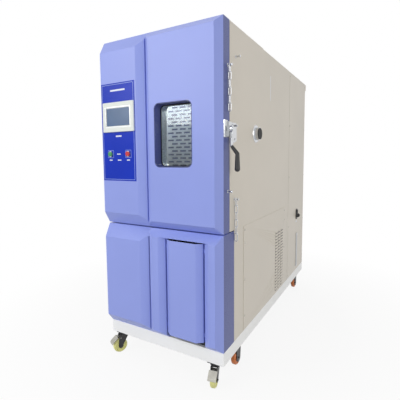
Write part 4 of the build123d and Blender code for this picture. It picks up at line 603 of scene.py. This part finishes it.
for name, y, body in (("hinge_door_screws", 82, "door"), ("hinge_frame_screws", 127, "cabinet")):
    spots = [(y, z + step, HINGE_FACE, HINGE_SCREW_R) for z in HINGES_Z for step in HINGE_STEPS]
    screws(name, "x", spots, body, -1.0)


# Floor: the camera sees it fade to white between these distances in metres, by these shares
FLOOR_SIZE = 80
FADE_FROM, FADE_TO = 0.7, 1.8
WHITE_NEAR, WHITE_FAR = 0.9, 1.0
FLOOR_GREY = (0.6, 0.6, 0.6, 1.0)
ROOM_LIGHT = 0.5        # the world's light, while the camera sees it white


def seen_by_eye(tree, path):
    """1 for rays from the camera, for reflections and for what shows through glass."""
    value = path.outputs["Is Camera Ray"]
    for name in ("Is Glossy Ray", "Is Transmission Ray"):
        larger = tree.nodes.new("ShaderNodeMath")
        larger.operation = "MAXIMUM"
        tree.links.new(value, larger.inputs[0])
        tree.links.new(path.outputs[name], larger.inputs[1])
        value = larger.outputs[0]
    return value


def floor_material():
    """Pale floor that the camera and reflections see fade to white, with a faint shadow kept."""
    mat, tree, shader, coords = new_material("studio_floor")
    tint = spread(tree, noise(tree, coords, 0.7), 0.0, 1.0)
    tree.links.new(mix_colour(tree, tint, shade(FLOOR_GREY, 0.99), FLOOR_GREY), shader.inputs["Base Color"])
    shader.inputs["Roughness"].default_value = 0.9
    shader.inputs["Specular IOR Level"].default_value = 0.0
    path = tree.nodes.new("ShaderNodeLightPath")
    seen = seen_by_eye(tree, path)
    far = tree.nodes.new("ShaderNodeVectorMath")
    far.operation = "LENGTH"
    tree.links.new(coords, far.inputs[0])
    fade = tree.nodes.new("ShaderNodeMapRange")
    fade.inputs["From Min"].default_value = FADE_FROM
    fade.inputs["From Max"].default_value = FADE_TO
    fade.inputs["To Min"].default_value = WHITE_NEAR
    fade.inputs["To Max"].default_value = WHITE_FAR
    tree.links.new(far.outputs["Value"], fade.inputs["Value"])
    both = tree.nodes.new("ShaderNodeMath")
    both.operation = "MULTIPLY"
    tree.links.new(seen, both.inputs[0])
    tree.links.new(fade.outputs["Result"], both.inputs[1])
    white = tree.nodes.new("ShaderNodeEmission")
    white.inputs["Strength"].default_value = 1.0
    mixer = tree.nodes.new("ShaderNodeMixShader")
    tree.links.new(both.outputs[0], mixer.inputs["Fac"])
    tree.links.new(shader.outputs["BSDF"], mixer.inputs[1])
    tree.links.new(white.outputs["Emission"], mixer.inputs[2])
    tree.links.new(mixer.outputs["Shader"], tree.nodes["Material Output"].inputs["Surface"])
    return mat


bpy.ops.mesh.primitive_plane_add(size=FLOOR_SIZE, location=(0, 0, 0))
floor = bpy.context.object
floor.name = "studio_floor"
floor.data.materials.append(floor_material())

world = bpy.data.worlds.new("studio")
bpy.context.scene.world = world
world.use_nodes = True
world_tree = world.node_tree
background = world_tree.nodes["Background"]
level = world_tree.nodes.new("ShaderNodeMapRange")
level.inputs["To Min"].default_value = ROOM_LIGHT
level.inputs["To Max"].default_value = 1.0
world_path = world_tree.nodes.new("ShaderNodeLightPath")
world_tree.links.new(seen_by_eye(world_tree, world_path), level.inputs["Value"])
world_tree.links.new(level.outputs["Result"], background.inputs["Strength"])
background.inputs["Color"].default_value = (1.0, 1.0, 1.0, 1.0)


def area_light(name, spot, target, size, power, colour=(1.0, 1.0, 1.0)):
    """Area light at a spot in metres, turned to a target."""
    data = bpy.data.lights.new(name, "AREA")
    data.shape = "RECTANGLE"
    data.size, data.size_y = size
    data.energy = power
    data.color = colour
    lamp = bpy.data.objects.new(name, data)
    bpy.context.scene.collection.objects.link(lamp)
    lamp.location = spot
    aim = Vector(target) - Vector(spot)
    lamp.rotation_euler = aim.to_track_quat("-Z", "Y").to_euler()


area_light("key", (-2.2, -4.8, 2.9), (0.0, -0.2, 0.8), (3.0, 2.5), 125.0)
area_light("side_fill", (4.2, -2.0, 1.7), (0.3, 0.0, 0.6), (2.5, 2.5), 56.0, (1.0, 0.98, 0.95))
area_light("back_fill", (-1.5, 4.5, 3.0), (0.0, 0.5, 0.8), (3.0, 3.0), 60.0)

# Light of the chamber lamp, cool on the left and warm on the right, turned to the baffle
CHAMBER_AIM = place(340, 470, 1150)
CHAMBER_LIGHT = (0.12, 0.04)
area_light("chamber_lamp_cool", place(250, 205, 1494), CHAMBER_AIM, CHAMBER_LIGHT, 1.8, (0.80, 0.90, 1.0))
area_light("chamber_lamp_warm", place(430, 205, 1494), CHAMBER_AIM, CHAMBER_LIGHT, 2.6, (1.0, 0.95, 0.72))

# Camera as fitted to the photograph: place in cabinet millimetres, turns in radians
CAM_SPOT = (1299.1, -1243.4, 1055.9)
CAM_YAW, CAM_PITCH, CAM_ROLL = 0.522359, -0.087737, -0.008413
CAM_LENS = 29.761
CAM_SHIFT = (0.00156, -0.0304)

cam_data = bpy.data.cameras.new("camera")
cam_data.lens = CAM_LENS
cam_data.sensor_width = 36.0
cam_data.shift_x, cam_data.shift_y = CAM_SHIFT
cam_data.clip_start, cam_data.clip_end = 0.05, 100.0
camera = bpy.data.objects.new("camera", cam_data)
bpy.context.scene.collection.objects.link(camera)
turn = (Matrix.Rotation(CAM_YAW, 4, "Z") @ Matrix.Rotation(math.pi / 2 + CAM_PITCH, 4, "X")
        @ Matrix.Rotation(CAM_ROLL, 4, "Z"))
camera.matrix_world = Matrix.Translation(place(*CAM_SPOT)) @ turn
bpy.context.scene.camera = camera
bpy.context.scene.view_settings.view_transform = "Standard"
